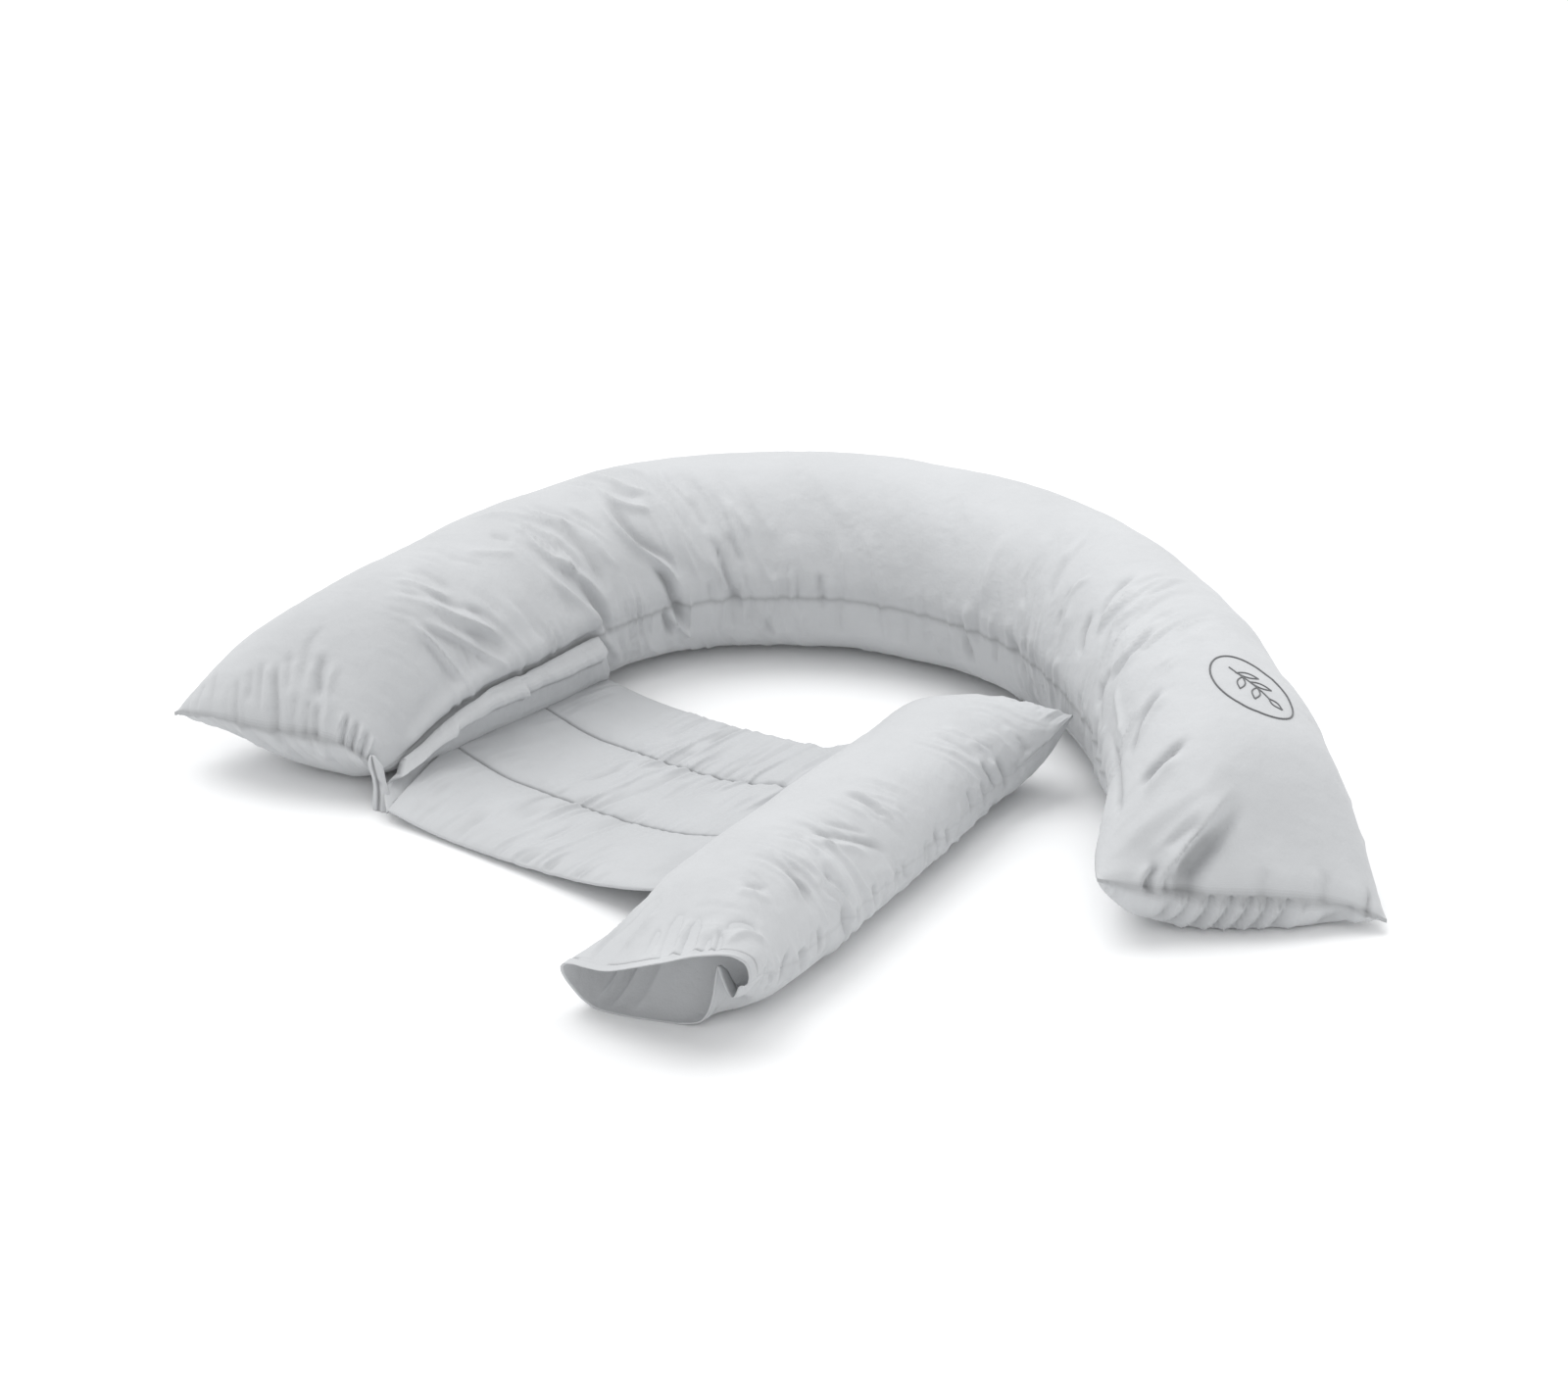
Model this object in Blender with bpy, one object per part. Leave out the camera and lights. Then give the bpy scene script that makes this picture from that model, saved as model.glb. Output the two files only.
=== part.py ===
"""Side sleeper's body pillow: a long filled pillow bent into a C, a quilted panel and a small bolster.

The long pillow lies on the floor with both of its sewn ends towards the front. A joining band runs
along the inner side seam of its left arm and carries a quilted panel of three sewn channels. The
panel's other edge is sewn to a bolster that lies beside the arm, with an open envelope mouth.
Metres, +Z up, the floor at z = 0, the origin on the floor under the middle of the whole thing.
"""

import math

import bmesh
import bpy
import numpy as np
from mathutils import Vector
from mathutils.bvhtree import BVHTree

# Where the origin lies in the layout that the centre lines below are drawn in.
LAYOUT_MIDDLE = (-0.0240, -0.2303)

# The small gap that is kept between pieces that are sewn together.
SEWN_GAP = 0.0005

# A pillow's section: how square its crown and underside are, along its length and at its ends.
CROWN_POWER = 0.92
UNDER_POWER = 0.75
CONTACT_SHARE = 1.06
END_CROWN_POWER = 1.20
END_UNDER_POWER = 1.00
SEAM_WELT = 0.0025
SEAM_WELT_ANGLE = 4.0
END_SEAM_HALF = 0.002
FOLD_RADIUS = 0.100

# Each end seam runs from the pillow's left side (share -1) to its right side (share 1), seen along
# the pillow from its first end to its last. across and beyond are measured from the seam's middle.
# crown_run, flare_run and seam_run are how far in each shape fades, and under_run is that of the
# underside at its left and its right side.
LONG_LEFT_END = {
    "seam": (
        # share, across, beyond, height
        (-1.0, -0.160, 0.006, 0.062),
        (-0.6, -0.100, 0.002, 0.060),
        (0.0, -0.030, -0.016, 0.058),
        (0.6, 0.030, -0.046, 0.052),
        (1.0, 0.062, -0.066, 0.038),
    ),
    "crown_run": 0.25,
    "under_run": (0.080, 0.020),
    "flare_run": 0.34,
    "seam_run": 0.20,
}
LONG_RIGHT_END = {
    "seam": (
        # share, across, beyond, height
        (-1.0, -0.136, 0.006, 0.014),
        (-0.6, -0.094, 0.000, 0.046),
        (0.0, -0.006, 0.000, 0.056),
        (0.6, 0.080, -0.006, 0.058),
        (1.0, 0.150, -0.002, 0.076),
    ),
    "crown_run": 0.25,
    "under_run": (0.012, 0.030),
    "flare_run": 0.25,
    "seam_run": 0.12,
}
LONG_PILLOW = {
    "line": (
        # x, y of the middle of the pillow on the floor, from the left end seam to the right one
        (-0.503, -0.264),
        (-0.371, -0.094),
        (-0.276, 0.019),
        (-0.128, 0.125),
        (0.108, 0.126),
        (0.298, 0.008),
        (0.399, -0.190),
        (0.449, -0.511),
    ),
    "girth": (
        # share of the length, half width, crown height, seam height
        (0.00, 0.104, 0.204, 0.086),
        (0.20, 0.101, 0.203, 0.086),
        (0.50, 0.100, 0.203, 0.088),
        (0.80, 0.100, 0.203, 0.086),
        (1.00, 0.101, 0.200, 0.084),
    ),
    "ends": (LONG_LEFT_END, LONG_RIGHT_END),
    "stations": 97,
    "around": 32,
    "folds": (
        # from: distance, degrees; to: distance, degrees; width, height (a trough is below 0)
        (0.369, 96.0, 0.376, 66.0, 0.016, 0.005),
        (0.376, 66.0, 0.420, 26.0, 0.016, 0.006),
        (0.366, 64.0, 0.391, 16.0, 0.018, -0.008),
        (0.338, 80.0, 0.395, 12.0, 0.016, 0.006),
        (0.348, 34.0, 0.394, 2.0, 0.018, -0.008),
        (0.328, 48.0, 0.408, -8.0, 0.016, 0.006),
        (0.456, 88.0, 0.474, 36.0, 0.018, 0.006),
        (0.474, 36.0, 0.530, 6.0, 0.018, 0.007),
        (0.470, 26.0, 0.524, -4.0, 0.018, -0.009),
        (0.583, 32.0, 0.613, 2.0, 0.018, -0.005),
        (0.161, 72.0, 0.225, 20.0, 0.016, 0.005),
        (0.150, 62.0, 0.216, 12.0, 0.016, -0.006),
        (0.134, 58.0, 0.219, 6.0, 0.016, 0.005),
        (1.120, 62.0, 1.150, 18.0, 0.018, -0.005),
        (1.176, 70.0, 1.204, 16.0, 0.018, -0.006),
        (1.310, 60.0, 1.330, 8.0, 0.020, -0.007),
        (1.418, 62.0, 1.462, 22.0, 0.020, -0.006),
        (1.360, 100.0, 1.552, 50.0, 0.022, 0.010),
        (1.400, 112.0, 1.545, 78.0, 0.040, -0.012),
        (0.006, 66.0, 0.090, 72.0, 0.016, -0.007),
        (0.006, 94.0, 0.080, 98.0, 0.014, -0.005),
        (0.006, 80.0, 0.075, 84.0, 0.014, 0.005),
    ),
}

# The mouth's lip, round from its right side (0 degrees) over its top to its left corner.
MOUTH = {
    "lip": (
        # degrees, across, beyond, height
        (0.0, 0.086, -0.026, 0.070),
        (30.0, 0.083, -0.020, 0.095),
        (60.0, 0.058, 0.002, 0.104),
        (90.0, 0.022, 0.024, 0.093),
        (120.0, -0.014, 0.031, 0.077),
        (150.0, -0.052, 0.031, 0.062),
        (180.0, -0.094, 0.028, 0.050),
        (205.0, -0.084, 0.012, 0.012),
        (235.0, -0.062, 0.006, 0.000),
        (265.0, -0.030, -0.002, 0.000),
        (295.0, 0.006, -0.016, 0.000),
        (320.0, 0.044, -0.026, 0.014),
        (345.0, 0.076, -0.028, 0.046),
        (360.0, 0.086, -0.026, 0.070),
    ),
    "lip_run": 0.10,
}
BOLSTER_FAR_END = {
    "seam": (
        # share, across, beyond, height
        (-1.0, -0.092, 0.000, 0.040),
        (0.0, 0.000, 0.000, 0.060),
        (0.7, 0.068, 0.002, 0.076),
        (1.0, 0.100, 0.004, 0.080),
    ),
    "crown_run": 0.11,
    "under_run": (0.040, 0.040),
    "flare_run": 0.14,
    "seam_run": 0.09,
}
BOLSTER = {
    "line": (
        # x, y from the mouth to the far end seam
        (-0.116, -0.670),
        (-0.020, -0.533),
        (0.076, -0.388),
        (0.150, -0.268),
        (0.207, -0.165),
    ),
    "girth": (
        # share of the length, half width, crown height, seam height
        (0.00, 0.080, 0.122, 0.050),
        (0.30, 0.080, 0.128, 0.054),
        (0.60, 0.077, 0.120, 0.054),
        (1.00, 0.070, 0.107, 0.050),
    ),
    "ends": (MOUTH, BOLSTER_FAR_END),
    "stations": 44,
    "around": 28,
    "folds": (
        # from: distance, degrees; to: distance, degrees; width, height
        (0.010, 150.0, 0.100, 134.0, 0.013, -0.005),
        (0.004, 75.0, 0.070, 86.0, 0.013, -0.005),
        (0.160, 60.0, 0.190, 10.0, 0.014, -0.004),
        (0.270, 60.0, 0.300, 14.0, 0.014, -0.004),
        (0.390, 70.0, 0.430, 22.0, 0.014, -0.004),
    ),
}
# The hollow behind the mouth: how deep it goes in, and how thick the case's hem is.
MOUTH_DEPTH = 0.085
MOUTH_STATIONS = 9
MOUTH_WALL_SHARE = 0.06

# The joining band hangs from the long pillow's side seam down to its foot on the panel's edge.
BAND_STATIONS = (2, 23)
BAND_FOOT = (
    # share of the band's length, x, y
    (0.000, -0.406, -0.287),
    (0.367, -0.334, -0.180),
    (0.717, -0.277, -0.071),
    (1.000, -0.203, -0.001),
)
BAND_FOOT_HEIGHT = 0.010
BAND_CLEARANCE = 0.0021
BAND_REACH = 0.120
BAND_PROFILE = (
    # share of the way down, thickness
    (0.00, 0.0090),
    (0.10, 0.0075),
    (0.25, 0.0035),
    (0.50, 0.0030),
    (0.75, 0.0030),
    (0.88, 0.0030),
    (1.00, 0.0030),
)
BAND_ROLL = (
    # share of the band's length, how full its rolled top edge is
    (0.00, 0.6),
    (0.25, 1.0),
    (0.30, 0.7),
    (0.58, 1.1),
    (0.64, 0.8),
    (1.00, 1.1),
)

# The quilted panel, from the band (share 0) to the bolster's left side seam (share 1).
PANEL_SEAM_SHARES = (0.0, 0.367, 0.717, 1.0)
PANEL_CHANNEL_POINTS = 6
PANEL_STATIONS = 22
PANEL_PADDING = 0.0130
PANEL_SEAM_THICKNESS = 0.0030
PANEL_BOLSTER_SHARES = (0.240, 0.840)
PANEL_SAG = (
    # share of the way to the bolster, height of the middle layer at the front edge, middle, back edge
    (0.00, 0.0130, 0.0130, 0.0130),
    (0.15, 0.0070, 0.0060, 0.0090),
    (0.35, 0.0080, 0.0055, 0.0090),
    (0.55, 0.0130, 0.0070, 0.0120),
    (0.75, 0.0240, 0.0160, 0.0190),
    (0.90, 0.0390, 0.0330, 0.0310),
    (1.00, 0.0520, 0.0520, 0.0520),
)

# The band's folded end: a small tab that stands against the pillow's front corner.
TAB_RINGS = (
    # x, y, height, half width, half thickness
    (-0.4108, -0.2634, 0.000, 0.0080, 0.0040),
    (-0.4112, -0.2609, 0.012, 0.0085, 0.0045),
    (-0.4117, -0.2564, 0.030, 0.0080, 0.0045),
    (-0.4127, -0.2554, 0.046, 0.0070, 0.0040),
    (-0.4127, -0.2554, 0.052, 0.0040, 0.0025),
)
TAB_SIDES = 10

CLOTHS = {
    # name: colour, roughness
    "pillow_cloth": ((0.62, 0.63, 0.64), 0.85),
    "panel_cloth": ((0.60, 0.61, 0.62), 0.85),
    "band_cloth": ((0.61, 0.62, 0.63), 0.80),
}


def smooth_step(share):
    """0 below 0, 1 above 1 and a soft S between them."""
    share = np.clip(share, 0.0, 1.0)
    return share * share * (3.0 - 2.0 * share)


def quarter_wave(share):
    """The first quarter of a sine wave, from 0 to 1, and 1 after it."""
    return np.sin(0.5 * math.pi * np.clip(share, 0.0, 1.0))


def through(knots, rows, at):
    """The natural cubic curve that passes through each row at its knot."""
    knots, rows = np.array(knots, float), np.array(rows, float)
    gaps = np.diff(knots)
    last = len(knots) - 1
    system, bend = np.eye(last + 1), np.zeros_like(rows)
    for i in range(1, last):
        system[i, i - 1:i + 2] = gaps[i - 1], 2.0 * (gaps[i - 1] + gaps[i]), gaps[i]
        bend[i] = 6.0 * ((rows[i + 1] - rows[i]) / gaps[i] - (rows[i] - rows[i - 1]) / gaps[i - 1])
    bend = np.linalg.solve(system, bend)
    at = np.asarray(at, float)
    i = np.clip(np.searchsorted(knots, at) - 1, 0, last - 1)
    gap, after = gaps[i][..., None], (at - knots[i])[..., None]
    before = gap - after
    return (
        (bend[i] * before**3 + bend[i + 1] * after**3) / (6.0 * gap)
        + (rows[i] / gap - bend[i] * gap / 6.0) * before
        + (rows[i + 1] / gap - bend[i + 1] * gap / 6.0) * after
    )


def along_line(line, shares):
    """Points of a smooth floor line at shares of its length, its headings there and its length."""
    line = np.array(line, float)
    fine = through(np.arange(len(line)), line, np.linspace(0.0, len(line) - 1.0, 4000))
    run = np.concatenate([[0.0], np.cumsum(np.linalg.norm(np.diff(fine, axis=0), axis=1))])
    slope = np.gradient(fine, run, axis=0)
    wanted = np.asarray(shares) * run[-1]
    points = np.stack([np.interp(wanted, run, fine[:, k]) for k in range(2)], axis=1)
    heading = np.stack([np.interp(wanted, run, slope[:, k]) for k in range(2)], axis=1)
    return points, heading / np.linalg.norm(heading, axis=1)[:, None], run[-1]


def ring_angles(around):
    """Even angles round a section, with a close pair beside each side seam to raise its welt."""
    even = np.arange(around) * 360.0 / around
    welts = np.array([SEAM_WELT_ANGLE, 180.0 - SEAM_WELT_ANGLE])
    return np.sort(np.concatenate([even, welts, 360.0 - welts]))


def outward_normals(rings):
    """Unit normals of a grid of [station, point, xyz] whose points go round each station."""
    along = np.gradient(rings, axis=0)
    round_it = np.roll(rings, -1, axis=1) - np.roll(rings, 1, axis=1)
    normals = np.cross(round_it, along)
    normals /= np.maximum(np.linalg.norm(normals, axis=2, keepdims=True), 1e-12)
    away = ((rings - rings.mean(axis=1, keepdims=True)) * normals).sum(axis=2)
    return normals * np.sign(away.sum())


def fold_heights(folds, distances, degrees):
    """Heights of soft ridges and troughs, each a bell across its line that fades out at both ends."""
    height = np.zeros((len(distances), len(degrees)))
    turn = (np.asarray(degrees) + 90.0) % 360.0 - 90.0
    place = np.stack(np.broadcast_arrays(distances[:, None], np.radians(turn) * FOLD_RADIUS), axis=2)
    for first, first_turn, last, last_turn, width, raised in folds:
        start = np.array((first, math.radians(first_turn) * FOLD_RADIUS))
        line = np.array((last, math.radians(last_turn) * FOLD_RADIUS)) - start
        share = np.clip(((place - start) @ line) / (line @ line), 0.0, 1.0)
        off = np.linalg.norm(place - start - share[..., None] * line, axis=2)
        fade = 0.35 + 0.65 * np.sin(math.pi * share)
        height += raised * fade * np.exp(-((off / width) ** 2))
    return height


def pillow_rings(pillow, shares=None, degrees=None):
    """Rings of a filled pillow that lies on the floor, as an array of [station, point, xyz].

    A ring's angle is 0 at the pillow's right side seam, 90 degrees on its crown and 180 degrees at
    its left side seam. Each end is flattened down to its own seam, or opens into its mouth's lip.
    """
    shares = np.linspace(0.0, 1.0, pillow["stations"]) if shares is None else shares
    degrees = ring_angles(pillow["around"]) if degrees is None else degrees
    first_end, last_end = pillow["ends"]
    centre, heading, length = along_line(pillow["line"], shares)
    rightward = np.stack([heading[:, 1], -heading[:, 0]], axis=1)
    side, up = np.cos(np.radians(degrees))[None, :], np.sin(np.radians(degrees))[None, :]
    lift = np.abs(up)
    girth = np.array(pillow["girth"])
    half, crown, seam = through(girth[:, 0], girth[:, 1:], shares).T[..., None]

    across, beyond = half * side, np.zeros_like(half * side)
    height = seam + np.zeros_like(across)
    crown_share, under_share, flat = np.ones_like(half), np.ones_like(half), np.zeros_like(half)
    for end, distance, outward in (
        (first_end, shares * length, -1.0),
        (last_end, (1.0 - shares) * length, 1.0),
    ):
        if "seam" not in end:
            continue
        rows = np.array(end["seam"])
        sewn = through(rows[:, 0], rows[:, 1:], np.clip(side[0], -1.0, 1.0)).T
        distance = distance[:, None]
        flare = 1.0 - smooth_step(distance / end["flare_run"])
        near = 1.0 - smooth_step(distance / end["seam_run"])
        across = across + (sewn[0] - across) * flare**1.5
        beyond = beyond + outward * sewn[1] * flare**2
        height = height + (sewn[2] - height) * near
        crown_share = crown_share * quarter_wave(distance / end["crown_run"]) ** 0.5
        under_run = np.interp(side, (-1.0, 1.0), end["under_run"])
        under_share = under_share * quarter_wave(distance / under_run) ** 0.6
        flat = np.maximum(flat, flare)

    crown_shape = lift ** (CROWN_POWER + (END_CROWN_POWER - CROWN_POWER) * flat)
    under_shape = CONTACT_SHARE * lift ** (UNDER_POWER + (END_UNDER_POWER - UNDER_POWER) * flat)
    off_seam = lift > 0.01
    over = height + np.maximum((crown - seam) * crown_shape * crown_share, END_SEAM_HALF * off_seam)
    under = height * (1.0 - np.minimum(under_shape, 1.0) * under_share)
    under = np.minimum(under, height - END_SEAM_HALF * off_seam)
    z = np.where(up >= 0.0, over, np.maximum(under, 0.0))

    if "lip" in first_end:
        rows = np.array(first_end["lip"])
        lip = through(rows[:, 0], rows[:, 1:], degrees).T
        open_share = 1.0 - smooth_step(shares * length / first_end["lip_run"])[:, None]
        across = across + (lip[0] - across) * open_share
        beyond = beyond - lip[1] * open_share
        z = np.maximum(z + (lip[2] - z) * open_share, 0.0)

    on_floor = centre[:, None] + across[..., None] * rightward[:, None] + beyond[..., None] * heading[:, None]
    rings = np.concatenate([on_floor, z[..., None]], axis=2)
    raised = fold_heights(pillow["folds"], shares * length, degrees) + SEAM_WELT * ~off_seam
    rings += outward_normals(rings) * (raised * (z > 0.001))[..., None]
    rings[..., 2] = np.maximum(rings[..., 2], 0.0)
    return rings


def mouth_rings(outer):
    """The rings of the hollow behind a pillow's mouth, from its closed inner end out to the hemmed lip.

    The case's lower layer rises with the filling behind it, until it meets the upper layer.
    """
    middle = outer.mean(axis=1, keepdims=True)
    inner = middle + (outer - middle) * (1.0 - MOUTH_WALL_SHARE)
    closing = smooth_step(np.linspace(0.0, 1.0, len(outer)) ** 1.3)[:, None] * 0.97
    half_round = inner.shape[1] // 2
    partner = inner[:, (-np.arange(inner.shape[1])) % inner.shape[1], 2]
    below = np.arange(inner.shape[1]) > half_round
    inner[..., 2] = np.where(below, inner[..., 2] + (partner - inner[..., 2]) * closing, inner[..., 2])
    return inner[::-1]


def surface_of(rings):
    """A tree of the side faces of a grid of rings, to find where a straight line meets them."""
    stations, around = rings.shape[:2]
    faces = [
        (i * around + j, i * around + (j + 1) % around, (i + 1) * around + (j + 1) % around, (i + 1) * around + j)
        for i in range(stations - 1)
        for j in range(around)
    ]
    return BVHTree.FromPolygons([Vector(point) for point in rings.reshape(-1, 3)], faces)


def band_rings(pillow, seam, outward):
    """Rings of the joining band's section, and its outer face as [station, row, xyz].

    Each ring hangs straight from beside the pillow's seam to the band's foot, and bulges out where
    the pillow's side is in its way. outward points level out from the pillow at each of its stations.
    """
    profile, roll, foot_rows = np.array(BAND_PROFILE), np.array(BAND_ROLL), np.array(BAND_FOOT)
    length_share = np.linspace(0.0, 1.0, len(seam))
    foot = np.concatenate(
        [
            through(foot_rows[:, 0], foot_rows[:, 1:], length_share),
            np.full((len(seam), 1), BAND_FOOT_HEIGHT),
        ],
        axis=1,
    )
    level = np.concatenate([outward, np.zeros((len(seam), 1))], axis=1)[:, None]
    top = seam + level[:, 0] * SEWN_GAP
    inner = top[:, None] + (foot - top)[:, None] * profile[:, 0, None]
    for i, k in np.ndindex(len(seam), len(profile)):
        far_out = Vector(inner[i, k] + level[i, 0] * BAND_REACH)
        wall = pillow.ray_cast(far_out, Vector(-level[i, 0]))[3]
        if k and wall is not None and wall < BAND_REACH + BAND_CLEARANCE:
            inner[i, k] += level[i, 0] * (BAND_REACH + BAND_CLEARANCE - wall)

    full = np.interp(length_share, roll[:, 0], roll[:, 1])[:, None]
    thick = (profile[-1, 1] + (profile[None, :, 1] - profile[-1, 1]) * full)[..., None]
    outer = inner + level * thick
    up = np.array((0.0, 0.0, 1.0))
    over = 0.5 * (inner[:, :1] + outer[:, :1]) + up * 0.4 * thick[:, :1]
    below = 0.5 * (inner[:, -1:] + outer[:, -1:]) - up * 0.4 * thick[:, -1:]
    return np.concatenate([over, outer, below, inner[:, ::-1]], axis=1), outer


def beside_foot(face, height, outward):
    """Points beside the foot of a face of [station, row, xyz], clear of it from there up to a height."""
    foot, upper = face[:, -1], face[:, -2]
    lean = ((upper - foot)[:, :2] * outward).sum(axis=1) * (height - foot[:, 2]) / (upper - foot)[:, 2]
    place = foot.copy()
    place[:, :2] += outward * (np.maximum(lean, 0.0) + SEWN_GAP)[:, None]
    return place


def panel_rings(near_edge, far_edge):
    """Rings of the quilted panel, each one section across its three padded channels."""
    channels = len(PANEL_SEAM_SHARES) - 1
    channel = np.arange(channels * PANEL_CHANNEL_POINTS + 1) / PANEL_CHANNEL_POINTS
    along = np.interp(channel, np.arange(channels + 1), PANEL_SEAM_SHARES)
    wave = np.abs(np.sin(math.pi * channel)) ** 0.6
    thick = PANEL_SEAM_THICKNESS + (PANEL_PADDING - PANEL_SEAM_THICKNESS) * wave

    near, far = (
        np.stack([np.interp(along, np.linspace(0.0, 1.0, len(edge)), edge[:, k]) for k in range(3)], axis=1)
        for edge in (near_edge, far_edge)
    )
    share = np.linspace(0.0, 1.0, PANEL_STATIONS)
    rows = np.array(PANEL_SAG)
    front, centre, back = (np.interp(share, rows[:, 0], rows[:, k])[:, None] for k in (1, 2, 3))
    off_middle = 2.0 * along - 1.0
    sag = centre + 0.5 * (back - front) * off_middle + (0.5 * (back + front) - centre) * off_middle**2
    plan = near[None] + (far - near)[None] * share[:, None, None]
    padded = np.minimum(0.45 + 0.55 * smooth_step((1.0 - share) / 0.15), 0.35 + 0.65 * smooth_step(share / 0.1))
    half = 0.5 * (PANEL_SEAM_THICKNESS + (thick[None] - PANEL_SEAM_THICKNESS) * padded[:, None])
    middle = np.maximum(sag, 0.5 * PANEL_PADDING)
    tips, top, under = plan.copy(), plan.copy(), plan.copy()
    tips[..., 2], top[..., 2], under[..., 2] = middle, middle + half, np.maximum(middle - half, 0.0)
    return np.concatenate([tips[:, :1], top[:, 1:-1], tips[:, -1:], under[:, -2:0:-1]], axis=1)


def tab_rings():
    """Rings of the band's folded end tab, a small rounded slip that narrows to its top."""
    turn = np.arange(TAB_SIDES) * 2.0 * math.pi / TAB_SIDES
    return np.array(
        [
            [(x + half * math.cos(a), y + thick * math.sin(a), z) for a in turn]
            for x, y, z, half, thick in TAB_RINGS
        ]
    )


def loft(name, rings, cloth, collection):
    """A closed solid through rings of points, with each end ring shut from its top to its underside."""
    mesh = bpy.data.meshes.new(name)
    shape = bmesh.new()
    around = len(rings[0])
    middle = Vector((*LAYOUT_MIDDLE, 0.0))
    points = [[shape.verts.new(Vector(point) - middle) for point in ring] for ring in rings]
    for first, second in zip(points, points[1:]):
        for i in range(around):
            j = (i + 1) % around
            shape.faces.new((first[i], first[j], second[j], second[i]))
    for ring in (points[0], points[-1]):
        for i in range(around // 2):
            corners = [ring[i], ring[i + 1], ring[around - i - 1], ring[(around - i) % around]]
            shape.faces.new(list(dict.fromkeys(corners)))
    bmesh.ops.recalc_face_normals(shape, faces=shape.faces)
    shape.to_mesh(mesh)
    shape.free()
    mesh.shade_smooth()
    mesh.materials.append(cloth)
    piece = bpy.data.objects.new(name, mesh)
    collection.objects.link(piece)
    return piece


def dyed_cloth(name):
    """A matt cloth of the pillow's cool pale grey."""
    colour, roughness = CLOTHS[name]
    cloth = bpy.data.materials.new(name)
    cloth.use_nodes = True
    shader = cloth.node_tree.nodes["Principled BSDF"]
    shader.inputs["Base Color"].default_value = (*colour, 1.0)
    shader.inputs["Roughness"].default_value = roughness
    shader.inputs["Metallic"].default_value = 0.0
    cloth.diffuse_color = (*colour, 1.0)
    return cloth


def main():
    for old in list(bpy.data.objects):
        bpy.data.objects.remove(old)
    collection = bpy.data.collections.new("body_pillow")
    bpy.context.scene.collection.children.link(collection)
    cloths = {name: dyed_cloth(name) for name in CLOTHS}

    long_rings = pillow_rings(LONG_PILLOW)
    loft("main_pillow", long_rings, cloths["pillow_cloth"], collection)

    first, last = BAND_STATIONS
    shares = np.linspace(0.0, 1.0, LONG_PILLOW["stations"])[first:last + 1]
    heading = along_line(LONG_PILLOW["line"], shares)[1]
    outward = np.stack([heading[:, 1], -heading[:, 0]], axis=1)
    band, band_face = band_rings(surface_of(long_rings), long_rings[first:last + 1, 0], outward)
    loft("joining_band", band, cloths["band_cloth"], collection)
    loft("band_end_tab", tab_rings(), cloths["band_cloth"], collection)

    bolster = pillow_rings(BOLSTER)
    length = along_line(BOLSTER["line"], (0.0,))[2]
    depth = np.linspace(0.0, MOUTH_DEPTH / length, MOUTH_STATIONS)
    hollow = mouth_rings(pillow_rings(BOLSTER, depth))
    loft("bolster", np.concatenate([hollow, bolster]), cloths["pillow_cloth"], collection)

    shares = np.linspace(*PANEL_BOLSTER_SHARES, 40)
    side = pillow_rings(BOLSTER, shares, np.array((150.0, 180.0, 210.0)))
    away = outward_normals(side)[:, 1] * (1.0, 1.0, 0.0)
    away /= np.linalg.norm(away, axis=1, keepdims=True)
    near_edge = beside_foot(band_face, PANEL_SAG[0][1] + 0.5 * PANEL_PADDING, outward)
    panel = panel_rings(near_edge, side[:, 1] + away * SEWN_GAP)
    loft("quilted_panel", panel, cloths["panel_cloth"], collection)


main()
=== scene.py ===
# %% [markdown]
# # A side sleeper's body pillow
# One long filled pillow lies bent into a C. A folded band is sewn along its inner side seam, a quilted
# panel hangs from the band, and the panel's other edge is sewn to a small bolster in an open-ended case.
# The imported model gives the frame, and every surface here is worked out in the same metres around it.

import math
from functools import reduce

import bpy
import numpy as np
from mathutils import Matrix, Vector


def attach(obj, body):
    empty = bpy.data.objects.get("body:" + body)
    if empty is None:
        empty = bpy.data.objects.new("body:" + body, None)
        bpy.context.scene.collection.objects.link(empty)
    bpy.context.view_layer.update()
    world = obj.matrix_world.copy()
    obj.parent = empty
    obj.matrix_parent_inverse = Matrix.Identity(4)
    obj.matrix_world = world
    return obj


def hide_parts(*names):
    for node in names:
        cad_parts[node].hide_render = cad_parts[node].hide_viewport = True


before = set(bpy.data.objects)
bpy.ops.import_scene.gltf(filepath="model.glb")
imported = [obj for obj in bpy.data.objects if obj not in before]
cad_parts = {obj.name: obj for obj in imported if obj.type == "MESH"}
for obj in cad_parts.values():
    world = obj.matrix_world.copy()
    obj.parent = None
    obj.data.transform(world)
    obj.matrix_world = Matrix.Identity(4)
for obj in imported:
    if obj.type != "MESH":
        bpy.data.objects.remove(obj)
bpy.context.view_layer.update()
print("pieces in the frame:", sorted(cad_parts))

# %% [markdown]
# Cloth that is cut and sewn follows a few smooth rules: it eases from one width to another, and a line
# of points is always joined by a soft curve. These helpers are used by every piece below.

# %% Easing curves and smooth lines
# the frame's origin in the layout that the tables are drawn in, and how high the lowest cloth lies
LAYOUT_MIDDLE = np.array((-0.0240, -0.2303, 0.0))
FLOOR_REST = 0.0004
MM = 0.001


def smooth_step(share):
    """0 below 0, 1 above 1 and a soft S between them: 3x^2 - 2x^3."""
    share = np.clip(share, 0.0, 1.0)
    return share * share * (3.0 - 2.0 * share)


def quarter_wave(share):
    """The first quarter of a sine wave, from 0 to 1, and 1 after it."""
    return np.sin(0.5 * math.pi * np.clip(share, 0.0, 1.0))


def bell(off, width):
    """1 at no distance, and less on both sides of it: exp(-(distance / width)^2)."""
    return np.exp(-((off / width) ** 2))


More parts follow.
